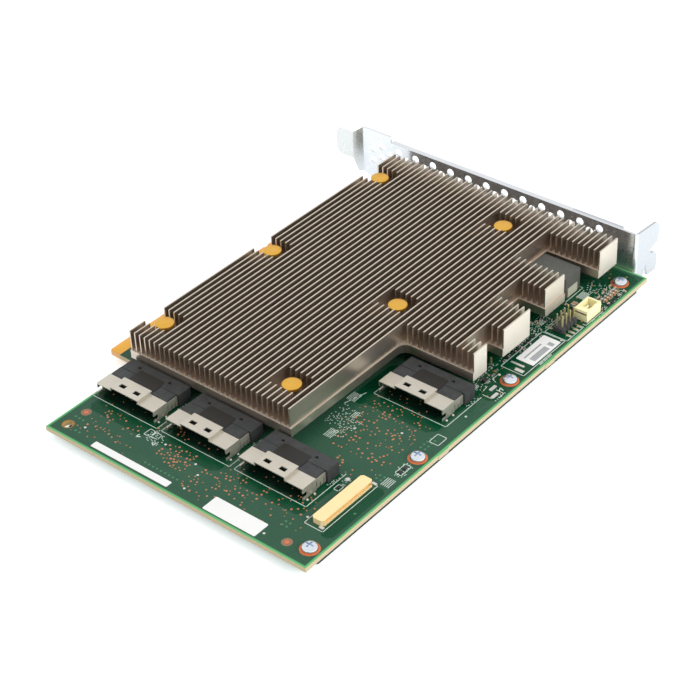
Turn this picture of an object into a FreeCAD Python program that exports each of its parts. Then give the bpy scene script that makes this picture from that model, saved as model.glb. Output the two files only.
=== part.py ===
"""Storage controller card, full height and half length, lying with its component side up.

A circuit board with a contact edge carries four cable sockets, a debug socket, a pin
header, a battery socket and a power inductor.  One finned heatsink covers most of it,
held by six sprung studs that screw into nuts of a backplate under the board.  A folded
sheet bracket closes the end that faces out of the machine.

Millimetres.  The card is drawn with X from the board's free end towards the bracket,
Y from its plain long edge towards its contact edge, and Z from its component side up.
At the end everything moves so that the origin is the middle of the card's footprint.
"""
import FreeCAD, Part
import math
import os

Vec = FreeCAD.Vector

# Flats on what is round, coarse where a hole or shank is out of sight
seen_flat_count = 16
head_flat_count = 12
vent_flat_count = 10
hidden_flat_count = 8

# Circuit board
board_length = 167.65
board_width = 99.0
board_thick = 1.57
tooling_hole_r = 1.6
tooling_hole_inset = 4.6

# Contact tongue of the board
tongue_start = 37.6
tongue_depth = 12.15
tongue_chamfer = 1.0
long_run = 71.65
short_run = 11.65
key_width = 1.9
key_depth = 8.0
bevel_length = 1.0
bevel_drop = 0.35

# Gold contacts, both sides
contact_pitch = 1.0
contact_width = 0.7
contact_length = 3.6
contact_thick = 0.05
contact_to_key = 1.5
long_contacts = 71
short_contacts = 11

# Snapped-off panel tabs along the plain edge
nib_places = (57.5, 110.5)
nib_length = 5.0
nib_proud = 0.25

# What lies under the board
rest_depth = 4.4
backplate_thick = 1.0
backplate_end = 5.3
backplate_far_gap = 1.95
backplate_near = 1.5
backplate_wide_gap = 2.0
backplate_corner = 1.5
nut_r = 2.3
nut_neck_r = 1.9
nut_neck_gap = 0.02
thread_gap = 0.05

# Screws along the plain edge
edge_screw_x = (6.5, 53.3, 97.8)
edge_screw_y = 3.95
foot_screw_end_gap = 7.45
foot_screw_y = 5.4
screw_head_r = 2.3
screw_head_h = 1.7
screw_head_edge = 0.6
screw_shoulder_r = 1.85
screw_shoulder_h = 1.35
screw_crown_r = 1.1
screw_shank_r = 1.45
screw_tip_gap = 0.3
recess_span = 2.6
recess_width = 0.6
recess_depth = 0.9
screw_hole_r = 1.6

# Heatsink
sink_start = 35.5
sink_end_gap = 3.7
sink_bottom = 3.8
base_thick = 2.9
fin_height = 6.8
fin_thick = 0.45
fin_pitch = 2.02
fin_inset = 0.4
first_fin_y = 98.45
front_fins = 32
side_fins = 13
side_start = 87.0
ledge = 0.45
inner_corner_r = 3.0

# Blocks and gaps along the heatsink's near edge, each gap with the fins that it takes
side_block = 6.7
side_gap = 8.1
side_gap_fins = 3
second_gap = 10.6
second_gap_fins = 6
trimmed_length = 10.7
inductor_gap = 16.4
inductor_gap_fins = 10
last_block = 10.55

# Sprung studs that pull the heatsink down
first_stud_inset = 11.0
stud_step = 54.75
last_stud_inset = 13.6
stud_fins = (2, 27)
stud_pocket_fins = 5
stud_pocket_length = 8.3
stud_head_r = 3.05
stud_head_top = 12.4
stud_head_h = 1.3
stud_head_bevel = 0.35
stud_shank_r = 1.6
stud_thread_r = 1.2
stud_hole_r = 1.9
spring_r = 2.5
spring_wire = 0.6

# Bracket
bracket_gap = 0.35
sheet = 0.86
bracket_height = 120.02
bracket_width = 18.42
tab_face = 4.7
tab_depth = 11.43
tab_open_deg = 4.0
bend_r = 0.5
blank_extra = 2.3
flange_start = 11.0
flange_end = 103.6
flange_depth = 2.1
flange_brim_r = 0.77
jog_start = 115.9
jog_run = 2.2
jog_depth = 2.9
tongue_low = 9.0
tongue_height = 10.2
tongue_corner_r = 1.6
heel_start = 105.5
heel_edge = 117.0
heel_rise = 3.6
vent_r = 1.4
vent_rows = 5
vent_columns = 13
vent_pitch = 7.41
vent_row_step = 2.15
vent_first_y = 18.8
vent_top_z = 11.3

# Screw notch and relief slot in the bracket's tab
notch_floor = 7.6
notch_depth = 4.1
notch_width = 1.6
notch_flare_top = 12.8
lobe_inset = 0.4
relief_near = 3.4
relief_far = 6.4
relief_rise = 4.8
tab_corner_r = 1.8

# Bracket feet under the board
foot_reach = 11.6
foot_span = 7.0
foot_tab_gap = 0.4
far_foot_drop = 11.0
far_foot_end_gap = 6.15
rivet_r = 1.45
rivet_head_r = 2.5
rivet_head_h = 0.8
rivet_gap = 0.05

# Cable sockets, mouths towards the free end
port_places = ((20.0, 86.1), (20.0, 57.8), (20.0, 29.5), (70.5, 19.8))
port_depth = 15.0
shell_width = 23.4
shell_depth = 5.7
shell_top = 4.1
shell_raise = 1.0
raised_width = 11.2
raised_shift = 0.3
shell_sheet = 0.3
raised_extra = 0.4
window_wide = 2.3
window_deep = 1.5
window_x = 2.6
window_space = 5.7
wall_notch_deep = 1.8
wall_notch_low = 0.9
wall_notch_high = 2.4
wing_end = 9.85
wing_low = 0.4
wing_high = 3.7
wing_slot_width = 0.25
wing_slots = ((5.7, 0.9, 2.9), (7.3, 0.0, 2.0), (8.7, 0.0, 2.6))
housing_width = 23.4
housing_shift = 0.6
housing_top = 4.35
housing_step = 0.15
housing_front = 4.6
housing_fit = 0.06
plug_slot_low = 1.0
plug_slot_high = 2.9
plug_slot_deep = 11.5
plug_slot_width = 22.0

# Debug socket
debug_start = 15.0
debug_near = 6.5
debug_length = 21.8
debug_width = 4.1
debug_height = 1.9
debug_corner = 0.7
debug_mouth_end = 0.8
debug_mouth_deep = 1.7
debug_mouth_low = 0.45
debug_mouth_high = 1.5
debug_brow_inset = 0.2
debug_pins = 20
debug_pin_thick = 0.4
debug_pin_length = 0.6
debug_pin_height = 0.25

# Pin header, two rows of four
header_from_end = 41.65
header_near = 4.0
header_pitch = 2.0
header_columns = 4
header_height = 2.0
header_chamfer = 0.45
pin_side = 0.4
pin_top = 6.3
pin_foot_reach = 2.0
pin_foot_thick = 0.3

# Battery socket
battery_from_end = 31.75
battery_near = 1.8
battery_length = 7.6
battery_width = 4.8
battery_height = 3.8
battery_wall = 0.75
battery_end_wall = 1.9
battery_floor = 0.6
battery_slot_drop = 1.45
battery_slot_high = 0.55
battery_slot_deep = 1.5
battery_slot_corner = 0.4
battery_rib = 0.5
battery_rib_reach = 2.2
battery_rib_drop = 0.5
battery_pins = 3
battery_pin_inset = 5.6
battery_pin_pitch = 1.25
battery_pin_top = 2.4

# Power inductor in the gap before the last fin block
inductor_clear = 5.4
inductor_near = 14.4
inductor_length = 8.9
inductor_width = 13.9
inductor_height = 7.1
inductor_corner = 0.5
terminal_length = 5.3
terminal_height = 3.1
terminal_thick = 0.25
terminal_inset = 1.3

# Chips that the heatsink cools
chip_side = 40.0
chip_thick = 1.3
lid_side = 32.0
lid_top = 3.1
memory_from_stud = 7.4
memory_y = (52.0, 80.0)
memory_count = 4
memory_pitch = 12.0
memory_length = 13.3
memory_width = 7.5
memory_height = 1.2

# Chip parts beside the heatsink; a row is its distance from the bracket's end and its Y
capacitor_length = 1.2
capacitor_width = 0.8
capacitor_height = 0.8
capacitor_row = (19.2, 3.5)
capacitor_count = 5
capacitor_pitch = 1.55
bulk_capacitor = (27.3, 9.2)
bulk_length = 1.8
bulk_width = 1.7
bulk_height = 0.9
resistor_length = 1.0
resistor_width = 0.6
resistor_height = 0.4
resistor_rows = ((20.4, 1.7), (61.65, 10.9))
resistor_counts = (4, 8)
resistor_pitch = 1.9

# Bare tinned pads: distance from the bracket's end, Y, and size along X and Y
spare_pads = ((64.65, 3.0, 1.3, 3.0), (62.15, 4.3, 0.8, 4.8))
pad_thick = 0.06

# Places that follow from the sizes above
key_x = tongue_start + long_run + key_width / 2
tongue_end = key_x + key_width / 2 + short_run
board_tip = board_width + tongue_depth
board_bottom = -board_thick
rest_z = -rest_depth
plate_top = rest_z + backplate_thick
sink_end = board_length - sink_end_gap
base_top = sink_bottom + base_thick
fin_top = base_top + fin_height
fin_count = front_fins + side_fins
gap_after_side = (side_start + side_block, side_start + side_block + side_gap, side_gap_fins)
gap_inductor = (sink_end - last_block - inductor_gap, sink_end - last_block, inductor_gap_fins)
trimmed_block = (gap_inductor[0] - trimmed_length, gap_inductor[0])
gap_second = (trimmed_block[0] - second_gap, trimmed_block[0], second_gap_fins)
last_stud_x = sink_end - last_stud_inset
stud_x = (sink_start + first_stud_inset, last_stud_x - stud_step, last_stud_x)
stud_y = tuple(first_fin_y - index * fin_pitch for index in stud_fins)
chip_x = (stud_x[0] + stud_x[1]) / 2
chip_y = (stud_y[0] + stud_y[1]) / 2
memory_start_x = stud_x[1] + memory_from_stud
inductor_start = trimmed_block[1] + inductor_clear
header_start = board_length - header_from_end
battery_start = board_length - battery_from_end
foot_screw = (board_length - foot_screw_end_gap, foot_screw_y)
edge_screws = tuple((x, edge_screw_y) for x in edge_screw_x) + (foot_screw,)
far_foot_fix = (board_length - far_foot_end_gap, board_width - far_foot_drop)
bracket_x = board_length + bracket_gap
bracket_out = bracket_x + sheet
bracket_top = rest_z + bracket_width
tab_bottom = tab_face + sheet
bracket_tip = tab_bottom + bracket_height
foot_bottom = board_bottom - sheet


def box(x0, x1, y0, y1, z0, z1):
    """Block between two corners."""
    return Part.makeBox(x1 - x0, y1 - y0, z1 - z0, Vec(x0, y0, z0))


def rod(x, y, radius, z0, z1):
    """Upright cylinder."""
    return Part.makeCylinder(radius, z1 - z0, Vec(x, y, z0))


def ring_of(x, y, radius, z, sides):
    """Closed wire of a regular outline with flats."""
    turns = [2 * math.pi * (step + 0.5) / sides for step in range(sides)]
    points = [Vec(x + radius * math.cos(turn), y + radius * math.sin(turn), z) for turn in turns]
    return Part.makePolygon(points + points[:1])


def faceted(x, y, radius, z0, z1, sides):
    """Upright rod with flats."""
    return Part.Face(ring_of(x, y, radius, z0, sides)).extrude(Vec(0, 0, z1 - z0))


def turned(x, y, profile, sides):
    """Turned form with flats, through a list of radius and height."""
    wires = [ring_of(x, y, radius, z, sides) for radius, z in profile]
    return Part.makeLoft(wires, True, True)


def prism(points, along):
    """Solid of a closed outline pushed along a vector."""
    return Part.Face(Part.makePolygon(points + points[:1])).extrude(along)


def strip(path, thick, along):
    """Folded sheet: a path with the sheet's thickness on its left, pushed along Z or X."""
    shifted = []
    for index, point in enumerate(path):
        before = path[max(index - 1, 0)]
        after = path[min(index + 1, len(path) - 1)]
        into = (point - before) if index else (after - point)
        out_of = (after - point) if index < len(path) - 1 else into
        into.normalize()
        out_of.normalize()
        side = along.cross(into)
        other = along.cross(out_of)
        side.normalize()
        other.normalize()
        corner = side + other
        corner.normalize()
        shifted.append(point + corner * (thick / corner.dot(side)))
    return prism(path + shifted[::-1], along)


def join(shapes):
    """One solid from pieces that meet."""
    return shapes[0].multiFuse(shapes[1:]).removeSplitter()


def upright_edges(shape, places, reach=0.02):
    """Edges parallel to Z at the given places."""
    found = []
    for edge in shape.Edges:
        ends = [vertex.Point for vertex in edge.Vertexes]
        if len(ends) != 2 or math.hypot(ends[0].x - ends[1].x, ends[0].y - ends[1].y) > reach:
            continue
        if any(math.hypot(ends[0].x - x, ends[0].y - y) < reach for x, y in places):
            found.append(edge)
    return found


def make_circuit_board():
    """Laminate with its contact tongue, key notch, bevel, nibs and holes."""
    outline = [
        (0, 0), (board_length, 0), (board_length, board_width),
        (tongue_end, board_width), (tongue_end, board_tip - tongue_chamfer),
        (tongue_end - tongue_chamfer, board_tip), (tongue_start + tongue_chamfer, board_tip),
        (tongue_start, board_tip - tongue_chamfer), (tongue_start, board_width),
        (0, board_width),
    ]
    board = prism([Vec(x, y, board_bottom) for x, y in outline], Vec(0, 0, board_thick))
    nibs = []
    for x in nib_places:
        nib = [(x, 0), (x + nib_proud, -nib_proud), (x + nib_length - nib_proud, -nib_proud)]
        nib.append((x + nib_length, 0))
        nibs.append(prism([Vec(px, py, board_bottom) for px, py in nib], Vec(0, 0, board_thick)))
    board = join([board] + nibs)
    notch_r = key_width / 2
    notch_y = board_tip - key_depth + notch_r
    cuts = [
        box(key_x - notch_r, key_x + notch_r, notch_y, board_tip + 1, board_bottom - 1, 1),
        rod(key_x, notch_y, notch_r, board_bottom - 1, 1),
        rod(tooling_hole_inset, board_width - tooling_hole_inset, tooling_hole_r,
            board_bottom - 1, 1),
        faceted(*far_foot_fix, rivet_r + rivet_gap, board_bottom - 1, 1, hidden_flat_count),
    ]
    for x, y in edge_screws:
        cuts.append(faceted(x, y, screw_hole_r, board_bottom - 1, 1, hidden_flat_count))
    for x in stud_x:
        for y in stud_y:
            cuts.append(faceted(x, y, stud_hole_r, board_bottom - 1, 1, hidden_flat_count))
    for face, turn in ((0, -1), (board_bottom, 1)):
        wedge = [Vec(tongue_start, board_tip - bevel_length, face), Vec(tongue_start, board_tip, face)]
        wedge.append(Vec(tongue_start, board_tip, face + turn * bevel_drop))
        cuts.append(prism(wedge, Vec(tongue_end - tongue_start, 0, 0)))
    return board.cut(cuts)


def make_edge_contacts():
    """Gold contacts on both faces of the tongue."""
    outer = board_tip - bevel_length
    starts = [key_x - contact_to_key - index * contact_pitch for index in range(long_contacts)]
    starts += [key_x + contact_to_key + index * contact_pitch for index in range(short_contacts)]
    contacts = []
    for x in starts:
        for z in (0, board_bottom - contact_thick):
            contacts.append(box(x - contact_width / 2, x + contact_width / 2,
                                outer - contact_length, outer, z, z + contact_thick))
    return Part.makeCompound(contacts)


def fin_y(index):
    """Middle of a fin, counted from the contact edge."""
    return first_fin_y - index * fin_pitch


def gap_edge(count):
    """Where a gap that takes the last fins ends, midway between two fins."""
    return fin_y(fin_count - count - 0.5)


def fin_runs(index):
    """Stretches of one fin between the gaps, pockets and ends of the heatsink."""
    start = (sink_start if index < front_fins else side_start) + fin_inset
    breaks = []
    for near, far, count in (gap_after_side, gap_second, gap_inductor):
        if index >= fin_count - count:
            breaks.append((near, far + fin_inset))
    if index == fin_count - 1:
        breaks.append(trimmed_block)
    for middle in stud_fins:
        if abs(index - middle) <= stud_pocket_fins // 2:
            half = stud_pocket_length / 2
            breaks += [(x - half, x + half) for x in stud_x]
    runs = []
    for near, far in sorted(breaks):
        if near > start:
            runs.append((start, near))
        start = max(start, far)
    if sink_end > start:
        runs.append((start, sink_end))
    return runs


def make_heatsink_base():
    """Base plate with its stepped front, its gaps along the near edge and the stud holes."""
    far_side = fin_y(0) + fin_thick / 2
    front_side = fin_y(front_fins - 1) - fin_thick / 2 - ledge
    near_side = fin_y(fin_count - 1) - fin_thick / 2
    base = join([
        box(sink_start, sink_end, front_side, far_side, sink_bottom, base_top),
        box(side_start, sink_end, near_side, front_side, sink_bottom, base_top),
    ])
    base = base.makeFillet(inner_corner_r, upright_edges(base, [(side_start, front_side)]))
    cuts = []
    for near, far, count in (gap_after_side, gap_second, gap_inductor):
        cuts.append(box(near, far, near_side - 1, gap_edge(count), sink_bottom - 1, base_top + 1))
    trim = fin_y(fin_count - 2) - fin_thick / 2 - ledge
    cuts.append(box(trimmed_block[0], trimmed_block[1], near_side - 1, trim,
                    sink_bottom - 1, base_top + 1))
    for x in stud_x:
        for y in stud_y:
            cuts.append(faceted(x, y, stud_hole_r, sink_bottom - 1, base_top + 1, hidden_flat_count))
    return base.cut(cuts)


def make_heatsink_fins():
    """Every fin on the base, as it is left by the pockets and gaps."""
    fins = []
    for index in range(fin_count):
        y = fin_y(index)
        for start, end in fin_runs(index):
            fins.append(box(start, end, y - fin_thick / 2, y + fin_thick / 2, base_top, fin_top))
    return Part.makeCompound(fins)


def make_heatsink_studs():
    """Flat-headed brass studs, shouldered on the nuts under the board."""
    head_low = stud_head_top - stud_head_h
    profile = [(stud_head_r, head_low), (stud_head_r, stud_head_top - stud_head_bevel),
               (stud_head_r - stud_head_bevel, stud_head_top)]
    studs = []
    for x in stud_x:
        for y in stud_y:
            head = turned(x, y, profile, seen_flat_count)
            shank = faceted(x, y, stud_shank_r, board_bottom, head_low, hidden_flat_count)
            thread = faceted(x, y, stud_thread_r, rest_z + screw_tip_gap, board_bottom, hidden_flat_count)
            studs.append(join([head, shank, thread]))
    return Part.makeCompound(studs)


def make_stud_springs():
    """Springs between the stud heads and the heatsink base, as their outer sleeve."""
    springs = []
    top = stud_head_top - stud_head_h
    for x in stud_x:
        for y in stud_y:
            outer = faceted(x, y, spring_r, base_top, top, vent_flat_count)
            bore = faceted(x, y, spring_r - spring_wire, base_top, top, vent_flat_count)
            springs.append(outer.cut(bore))
    return Part.makeCompound(springs)


def nut_places():
    """Every nut of the backplate: place, top and thread radius of what screws in."""
    places = []
    for x, y in edge_screws:
        top = foot_bottom if (x, y) == foot_screw else board_bottom
        places.append((x, y, top, screw_shank_r))
    for x in stud_x:
        for y in stud_y:
            places.append((x, y, board_bottom, stud_thread_r))
    return places


def make_backplate():
    """Painted sheet under the board with a hole for each nut's neck."""
    x0 = backplate_end
    x1 = board_length - backplate_far_gap
    y0 = backplate_near
    y1 = board_width - backplate_wide_gap
    plate = box(x0, x1, y0, y1, rest_z, plate_top)
    corners = [(x0, y0), (x1, y0), (x1, y1), (x0, y1)]
    plate = plate.makeChamfer(backplate_corner, upright_edges(plate, corners))
    holes = [faceted(x, y, nut_neck_r + nut_neck_gap, rest_z - 1, plate_top + 1, hidden_flat_count)
             for x, y, top, thread in nut_places()]
    return plate.cut(holes)


def make_backplate_nuts():
    """Pressed-in nuts that space the board off the backplate."""
    nuts = []
    for x, y, top, thread in nut_places():
        body = join([
            faceted(x, y, nut_r, plate_top, top, hidden_flat_count),
            faceted(x, y, nut_neck_r, rest_z, plate_top, hidden_flat_count),
        ])
        nuts.append(body.cut(faceted(x, y, thread + thread_gap, rest_z - 1, top + 1, hidden_flat_count)))
    return Part.makeCompound(nuts)


def make_edge_screws():
    """Pan-headed screws with a cross recess."""
    profile = [(screw_head_r, 0), (screw_head_r, screw_head_edge),
               (screw_shoulder_r, screw_shoulder_h), (screw_crown_r, screw_head_h)]
    screws = []
    for x, y in edge_screws:
        head = turned(x, y, profile, head_flat_count)
        slots = []
        for wide, deep in ((recess_span, recess_width), (recess_width, recess_span)):
            slots.append(box(x - wide / 2, x + wide / 2, y - deep / 2, y + deep / 2,
                             screw_head_h - recess_depth, screw_head_h + 1))
        shank = faceted(x, y, screw_shank_r, rest_z + screw_tip_gap, 0, hidden_flat_count)
        screws.append(join([head, shank]).cut(slots))
    return Part.makeCompound(screws)


def tab_outline():
    """Outline of the bracket's tab seen along Y, with the screw notch and relief slot."""
    end = bracket_out + tab_depth
    low = rest_z
    floor = low + notch_floor
    deep = end - notch_depth
    points = [
        (bracket_x - 1, low), (bracket_out + relief_near, low),
        (bracket_out + (relief_near + relief_far) / 2, low + relief_rise),
        (bracket_out + relief_far, low), (end - lobe_inset, low),
        (end - lobe_inset, floor - tab_corner_r), (end - lobe_inset - tab_corner_r, floor),
        (deep, floor), (deep, floor + notch_width),
        (end - lobe_inset, low + notch_flare_top - tab_corner_r), (end, low + notch_flare_top),
        (end, bracket_top - tab_corner_r), (end - tab_corner_r, bracket_top),
        (bracket_x - 1, bracket_top),
    ]
    return [Vec(x, 0, z) for x, z in points]


def make_bracket():
    """Sheet bracket: tab, plate, jogged tongue, flange, vents and two feet."""
    low = Vec(0, 0, rest_z)
    rise = Vec(0, 0, bracket_width + blank_extra)
    tongue_x = bracket_x - jog_depth
    path = [
        Vec(bracket_x, tab_face + bend_r + sheet, 0), Vec(bracket_x, jog_start, 0),
        Vec(tongue_x, jog_start + jog_run, 0), Vec(tongue_x, bracket_tip, 0),
    ]
    fold = strip([point + low for point in path[::-1]], sheet, rise)
    shape_yz = [
        (tab_face - 1, rest_z), (heel_start, rest_z), (heel_edge, rest_z + heel_rise),
        (jog_start + jog_run, rest_z + tongue_low), (bracket_tip - tongue_corner_r, rest_z + tongue_low),
        (bracket_tip, rest_z + tongue_low + tongue_corner_r),
        (bracket_tip, rest_z + tongue_low + tongue_height - tongue_corner_r),
        (bracket_tip - tongue_corner_r, rest_z + tongue_low + tongue_height),
        (jog_start + jog_run, rest_z + tongue_low + tongue_height),
        (jog_start, bracket_top + blank_extra), (flange_end, bracket_top + blank_extra),
        (flange_end, bracket_top), (tab_face - 1, bracket_top),
    ]
    mask = prism([Vec(tongue_x - sheet, y, z) for y, z in shape_yz], Vec(jog_depth + 3 * sheet, 0, 0))
    plate = fold.common(mask)

    corner_r = bend_r + sheet
    bend_x = bracket_x + corner_r
    bend_y = tab_face + corner_r
    ring = rod(bend_x, bend_y, corner_r, rest_z, bracket_top)
    ring = ring.cut(rod(bend_x, bend_y, bend_r, rest_z, bracket_top))
    bend = ring.common(box(bracket_x, bend_x, tab_face, bend_y, rest_z, bracket_top))
    tab = prism([point + Vec(0, tab_face, 0) for point in tab_outline()], Vec(0, sheet, 0))
    tab = tab.common(box(bend_x, bend_x + 2 * tab_depth, tab_face, tab_bottom, rest_z, bracket_top))
    tab.rotate(Vec(bend_x, bend_y, 0), Vec(0, 0, 1), -tab_open_deg)
    keep = box(bend_x - 2 * corner_r, bend_x, bend_y - 2 * corner_r, bend_y + 1,
               rest_z - 1, bracket_top + 1)
    keep.rotate(Vec(bend_x, bend_y, 0), Vec(0, 0, 1), -tab_open_deg)
    bend = bend.common(keep)

    flange = box(bracket_x, bracket_x + flange_depth, flange_start, flange_end,
                 bracket_top - sheet, bracket_top)
    brim = [edge for edge in flange.Edges if edge.BoundBox.YLength > 1
            and abs(edge.BoundBox.XMin - bracket_x) < 0.01 and edge.BoundBox.ZMin > bracket_top - 0.01]

    near_x = bracket_x - foot_reach
    feet = []
    for x, y in (foot_screw, far_foot_fix):
        start = max(y - foot_span / 2, tab_bottom + foot_tab_gap)
        pad = box(near_x, board_length - sheet, y - foot_span / 2, y + foot_span / 2,
                  foot_bottom, board_bottom)
        neck = box(board_length - sheet, bracket_out, start, y + foot_span / 2,
                   foot_bottom, board_bottom)
        feet.append(join([pad, neck]))
    body = join([plate, bend, tab, flange.makeFillet(flange_brim_r, brim)] + feet)

    cuts = []
    for row in range(vent_rows):
        z = vent_top_z - row * vent_row_step
        shift = vent_pitch / 2 if row % 2 else 0
        for column in range(vent_columns):
            y = vent_first_y + shift + column * vent_pitch
            vent = faceted(-z, y, vent_r, bracket_x - 1, bracket_x + 2, vent_flat_count)
            vent.rotate(Vec(0, 0, 0), Vec(0, 1, 0), 90)
            cuts.append(vent)
    for place, radius in ((foot_screw, screw_hole_r), (far_foot_fix, rivet_r + rivet_gap)):
        cuts.append(faceted(*place, radius, foot_bottom - 1, board_bottom + 1, hidden_flat_count))
    return body.cut(cuts)


def make_bracket_rivet():
    """Rivet that holds the bracket's far foot to the board."""
    x, y = far_foot_fix
    return join([
        faceted(x, y, rivet_head_r, 0, rivet_head_h, head_flat_count),
        faceted(x, y, rivet_r, foot_bottom, 0, hidden_flat_count),
        faceted(x, y, rivet_head_r, foot_bottom - rivet_head_h, foot_bottom, head_flat_count),
    ])


def make_port_shell(x, y):
    """Tin-plated shell: one folded sheet over the socket's mouth, with a wing along each side."""
    half = shell_width / 2
    rise_low = raised_shift - raised_width / 2
    rise_high = raised_shift + raised_width / 2
    high = shell_top + shell_raise
    path = [
        (-half, 0), (-half, shell_top), (rise_low, shell_top), (rise_low, high),
        (rise_high, high), (rise_high, shell_top), (half, shell_top), (half, 0),
    ]
    shell = strip([Vec(x, y + py, pz) for py, pz in path], shell_sheet, Vec(-shell_depth, 0, 0))
    shell.translate(Vec(shell_depth, 0, 0))
    parts = [shell, box(x + shell_depth, x + shell_depth + raised_extra, y + rise_low, y + rise_high,
                        high - shell_sheet, high)]
    cuts = []
    for side in (-1, 1):
        middle = y + raised_shift + side * window_space / 2
        cuts.append(box(x + window_x - window_deep / 2, x + window_x + window_deep / 2,
                        middle - window_wide / 2, middle + window_wide / 2, shell_top, high + 1))
        wall = y + side * half
        cuts.append(box(x - 1, x + wall_notch_deep, wall - 1, wall + 1,
                        wall_notch_low, wall_notch_high))
        inside = wall - side * shell_sheet
        parts.append(box(x + shell_depth, x + wing_end, min(wall, inside), max(wall, inside),
                         wing_low, wing_high))
        for start, low, top in wing_slots:
            cuts.append(box(x + start, x + start + wing_slot_width, wall - 1, wall + 1, low, top))
    return join(parts).cut(cuts)


def make_port_housing(x, y):
    """Moulded socket body with the plug slot open to the mouth."""
    near = y - housing_shift - housing_width / 2
    inner = shell_width / 2 - shell_sheet - housing_fit
    back = x + port_depth
    seam = x + wing_end + housing_fit
    front = x + shell_depth + housing_fit
    body = join([
        box(seam, back, near, near + housing_width, 0, housing_top),
        box(front, seam, y - inner, y + inner, 0, housing_top - housing_step),
        box(x + housing_front, front, y - inner, y + inner, 0,
            shell_top - shell_sheet - housing_fit),
    ])
    slot = box(x, x + plug_slot_deep, y - plug_slot_width / 2, y + plug_slot_width / 2,
               plug_slot_low, plug_slot_high)
    return body.cut(slot)


def make_debug_socket():
    """Long narrow socket with cut corners and a mouth along its near side."""
    x0 = debug_start
    x1 = debug_start + debug_length
    y0 = debug_near
    y1 = debug_near + debug_width
    cut = debug_corner
    outline = [(x0 + cut, y0), (x1 - cut, y0), (x1, y0 + cut), (x1, y1 - cut),
               (x1 - cut, y1), (x0 + cut, y1), (x0, y1 - cut), (x0, y0 + cut)]
    body = prism([Vec(x, y, 0) for x, y in outline], Vec(0, 0, debug_height))
    start = x0 + debug_mouth_end
    end = x1 - debug_mouth_end
    mouth = box(start, end, y0 - 1, y0 + debug_mouth_deep, debug_mouth_low, debug_mouth_high)
    brow = box(start, end, y0 - 1, y0 + debug_brow_inset, debug_mouth_low, debug_height + 1)
    return body.cut([mouth, brow])


def make_debug_contacts():
    """Contacts that lie at the back of the debug socket's mouth."""
    first = debug_start + debug_mouth_end
    pitch = (debug_length - 2 * debug_mouth_end) / debug_pins
    back = debug_near + debug_mouth_deep
    pins = []
    for index in range(debug_pins):
        x = first + (index + 0.5) * pitch
        pins.append(box(x - debug_pin_thick / 2, x + debug_pin_thick / 2,
                        back - debug_pin_length, back,
                        debug_mouth_low, debug_mouth_low + debug_pin_height))
    return Part.makeCompound(pins)


def header_pin_places():
    """Pin middles of both rows, and the side on which each foot leaves."""
    places = []
    for column in range(header_columns):
        x = header_start + (column + 0.5) * header_pitch
        places.append((x, header_near + 0.5 * header_pitch, -1))
        places.append((x, header_near + 1.5 * header_pitch, 1))
    return places


def make_pin_header():
    """Insulator block, one cut-cornered cell for each pair of pins, bored for the pins."""
    cells = []
    cut = header_chamfer
    y0 = header_near
    y1 = header_near + 2 * header_pitch
    for column in range(header_columns):
        x0 = header_start + column * header_pitch
        x1 = x0 + header_pitch
        outline = [(x0 + cut, y0), (x1 - cut, y0), (x1, y0 + cut), (x1, y1 - cut),
                   (x1 - cut, y1), (x0 + cut, y1), (x0, y1 - cut), (x0, y0 + cut)]
        cells.append(prism([Vec(x, y, pin_foot_thick) for x, y in outline],
                           Vec(0, 0, header_height - pin_foot_thick)))
    half = pin_side / 2
    holes = [box(x - half, x + half, y - half, y + half, 0, header_height + 1)
             for x, y, side in header_pin_places()]
    return join(cells).cut(holes)


def make_header_pins():
    """Square pins, each with a foot soldered outside the block."""
    pins = []
    half = pin_side / 2
    for x, y, side in header_pin_places():
        post = box(x - half, x + half, y - half, y + half, 0, pin_top)
        reach = y + side * (header_pitch / 2 + pin_foot_reach)
        foot = box(x - half, x + half, min(y, reach), max(y, reach), 0, pin_foot_thick)
        pins.append(join([post, foot]))
    return Part.makeCompound(pins)


def battery_pin_places():
    """Pins of the battery socket, in a row along Y."""
    middle = battery_near + battery_width / 2
    first = middle - (battery_pins - 1) / 2 * battery_pin_pitch
    return [(battery_start + battery_pin_inset, first + index * battery_pin_pitch)
            for index in range(battery_pins)]


def make_battery_socket():
    """Open-topped socket with a slot in its thick end and a rib in its hollow."""
    x0 = battery_start
    x1 = battery_start + battery_length
    y0 = battery_near
    y1 = battery_near + battery_width
    wall = battery_wall
    body = box(x0, x1, y0, y1, 0, battery_height)
    inside = x0 + battery_end_wall
    rib_y = (y0 + y1 - battery_rib) / 2
    hollow = box(inside, x1 - wall, y0 + wall, y1 - wall, battery_floor, battery_height + 1)
    rib = box(inside, inside + battery_rib_reach, rib_y, rib_y + battery_rib, battery_floor,
              battery_height - battery_rib_drop)
    slot_low = battery_height - battery_slot_drop
    cuts = [
        hollow.cut(rib),
        box(x0 - 1, x0 + battery_slot_deep, y0 + battery_slot_corner, y1 + 1,
            slot_low, slot_low + battery_slot_high),
    ]
    half = pin_side / 2
    for x, y in battery_pin_places():
        cuts.append(box(x - half, x + half, y - half, y + half, -1, battery_floor + 1))
    return body.cut(cuts)


def make_battery_pins():
    """Pins that stand in the battery socket."""
    half = pin_side / 2
    return Part.makeCompound([box(x - half, x + half, y - half, y + half, 0, battery_pin_top)
                              for x, y in battery_pin_places()])


def make_inductor():
    """Pressed powder block of the inductor with broken upright corners."""
    x0 = inductor_start
    x1 = x0 + inductor_length
    y0 = inductor_near
    y1 = y0 + inductor_width
    body = box(x0, x1, y0, y1, 0, inductor_height)
    corners = upright_edges(body, [(x0, y0), (x1, y0), (x1, y1), (x0, y1)])
    return body.makeChamfer(inductor_corner, corners)


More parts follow.
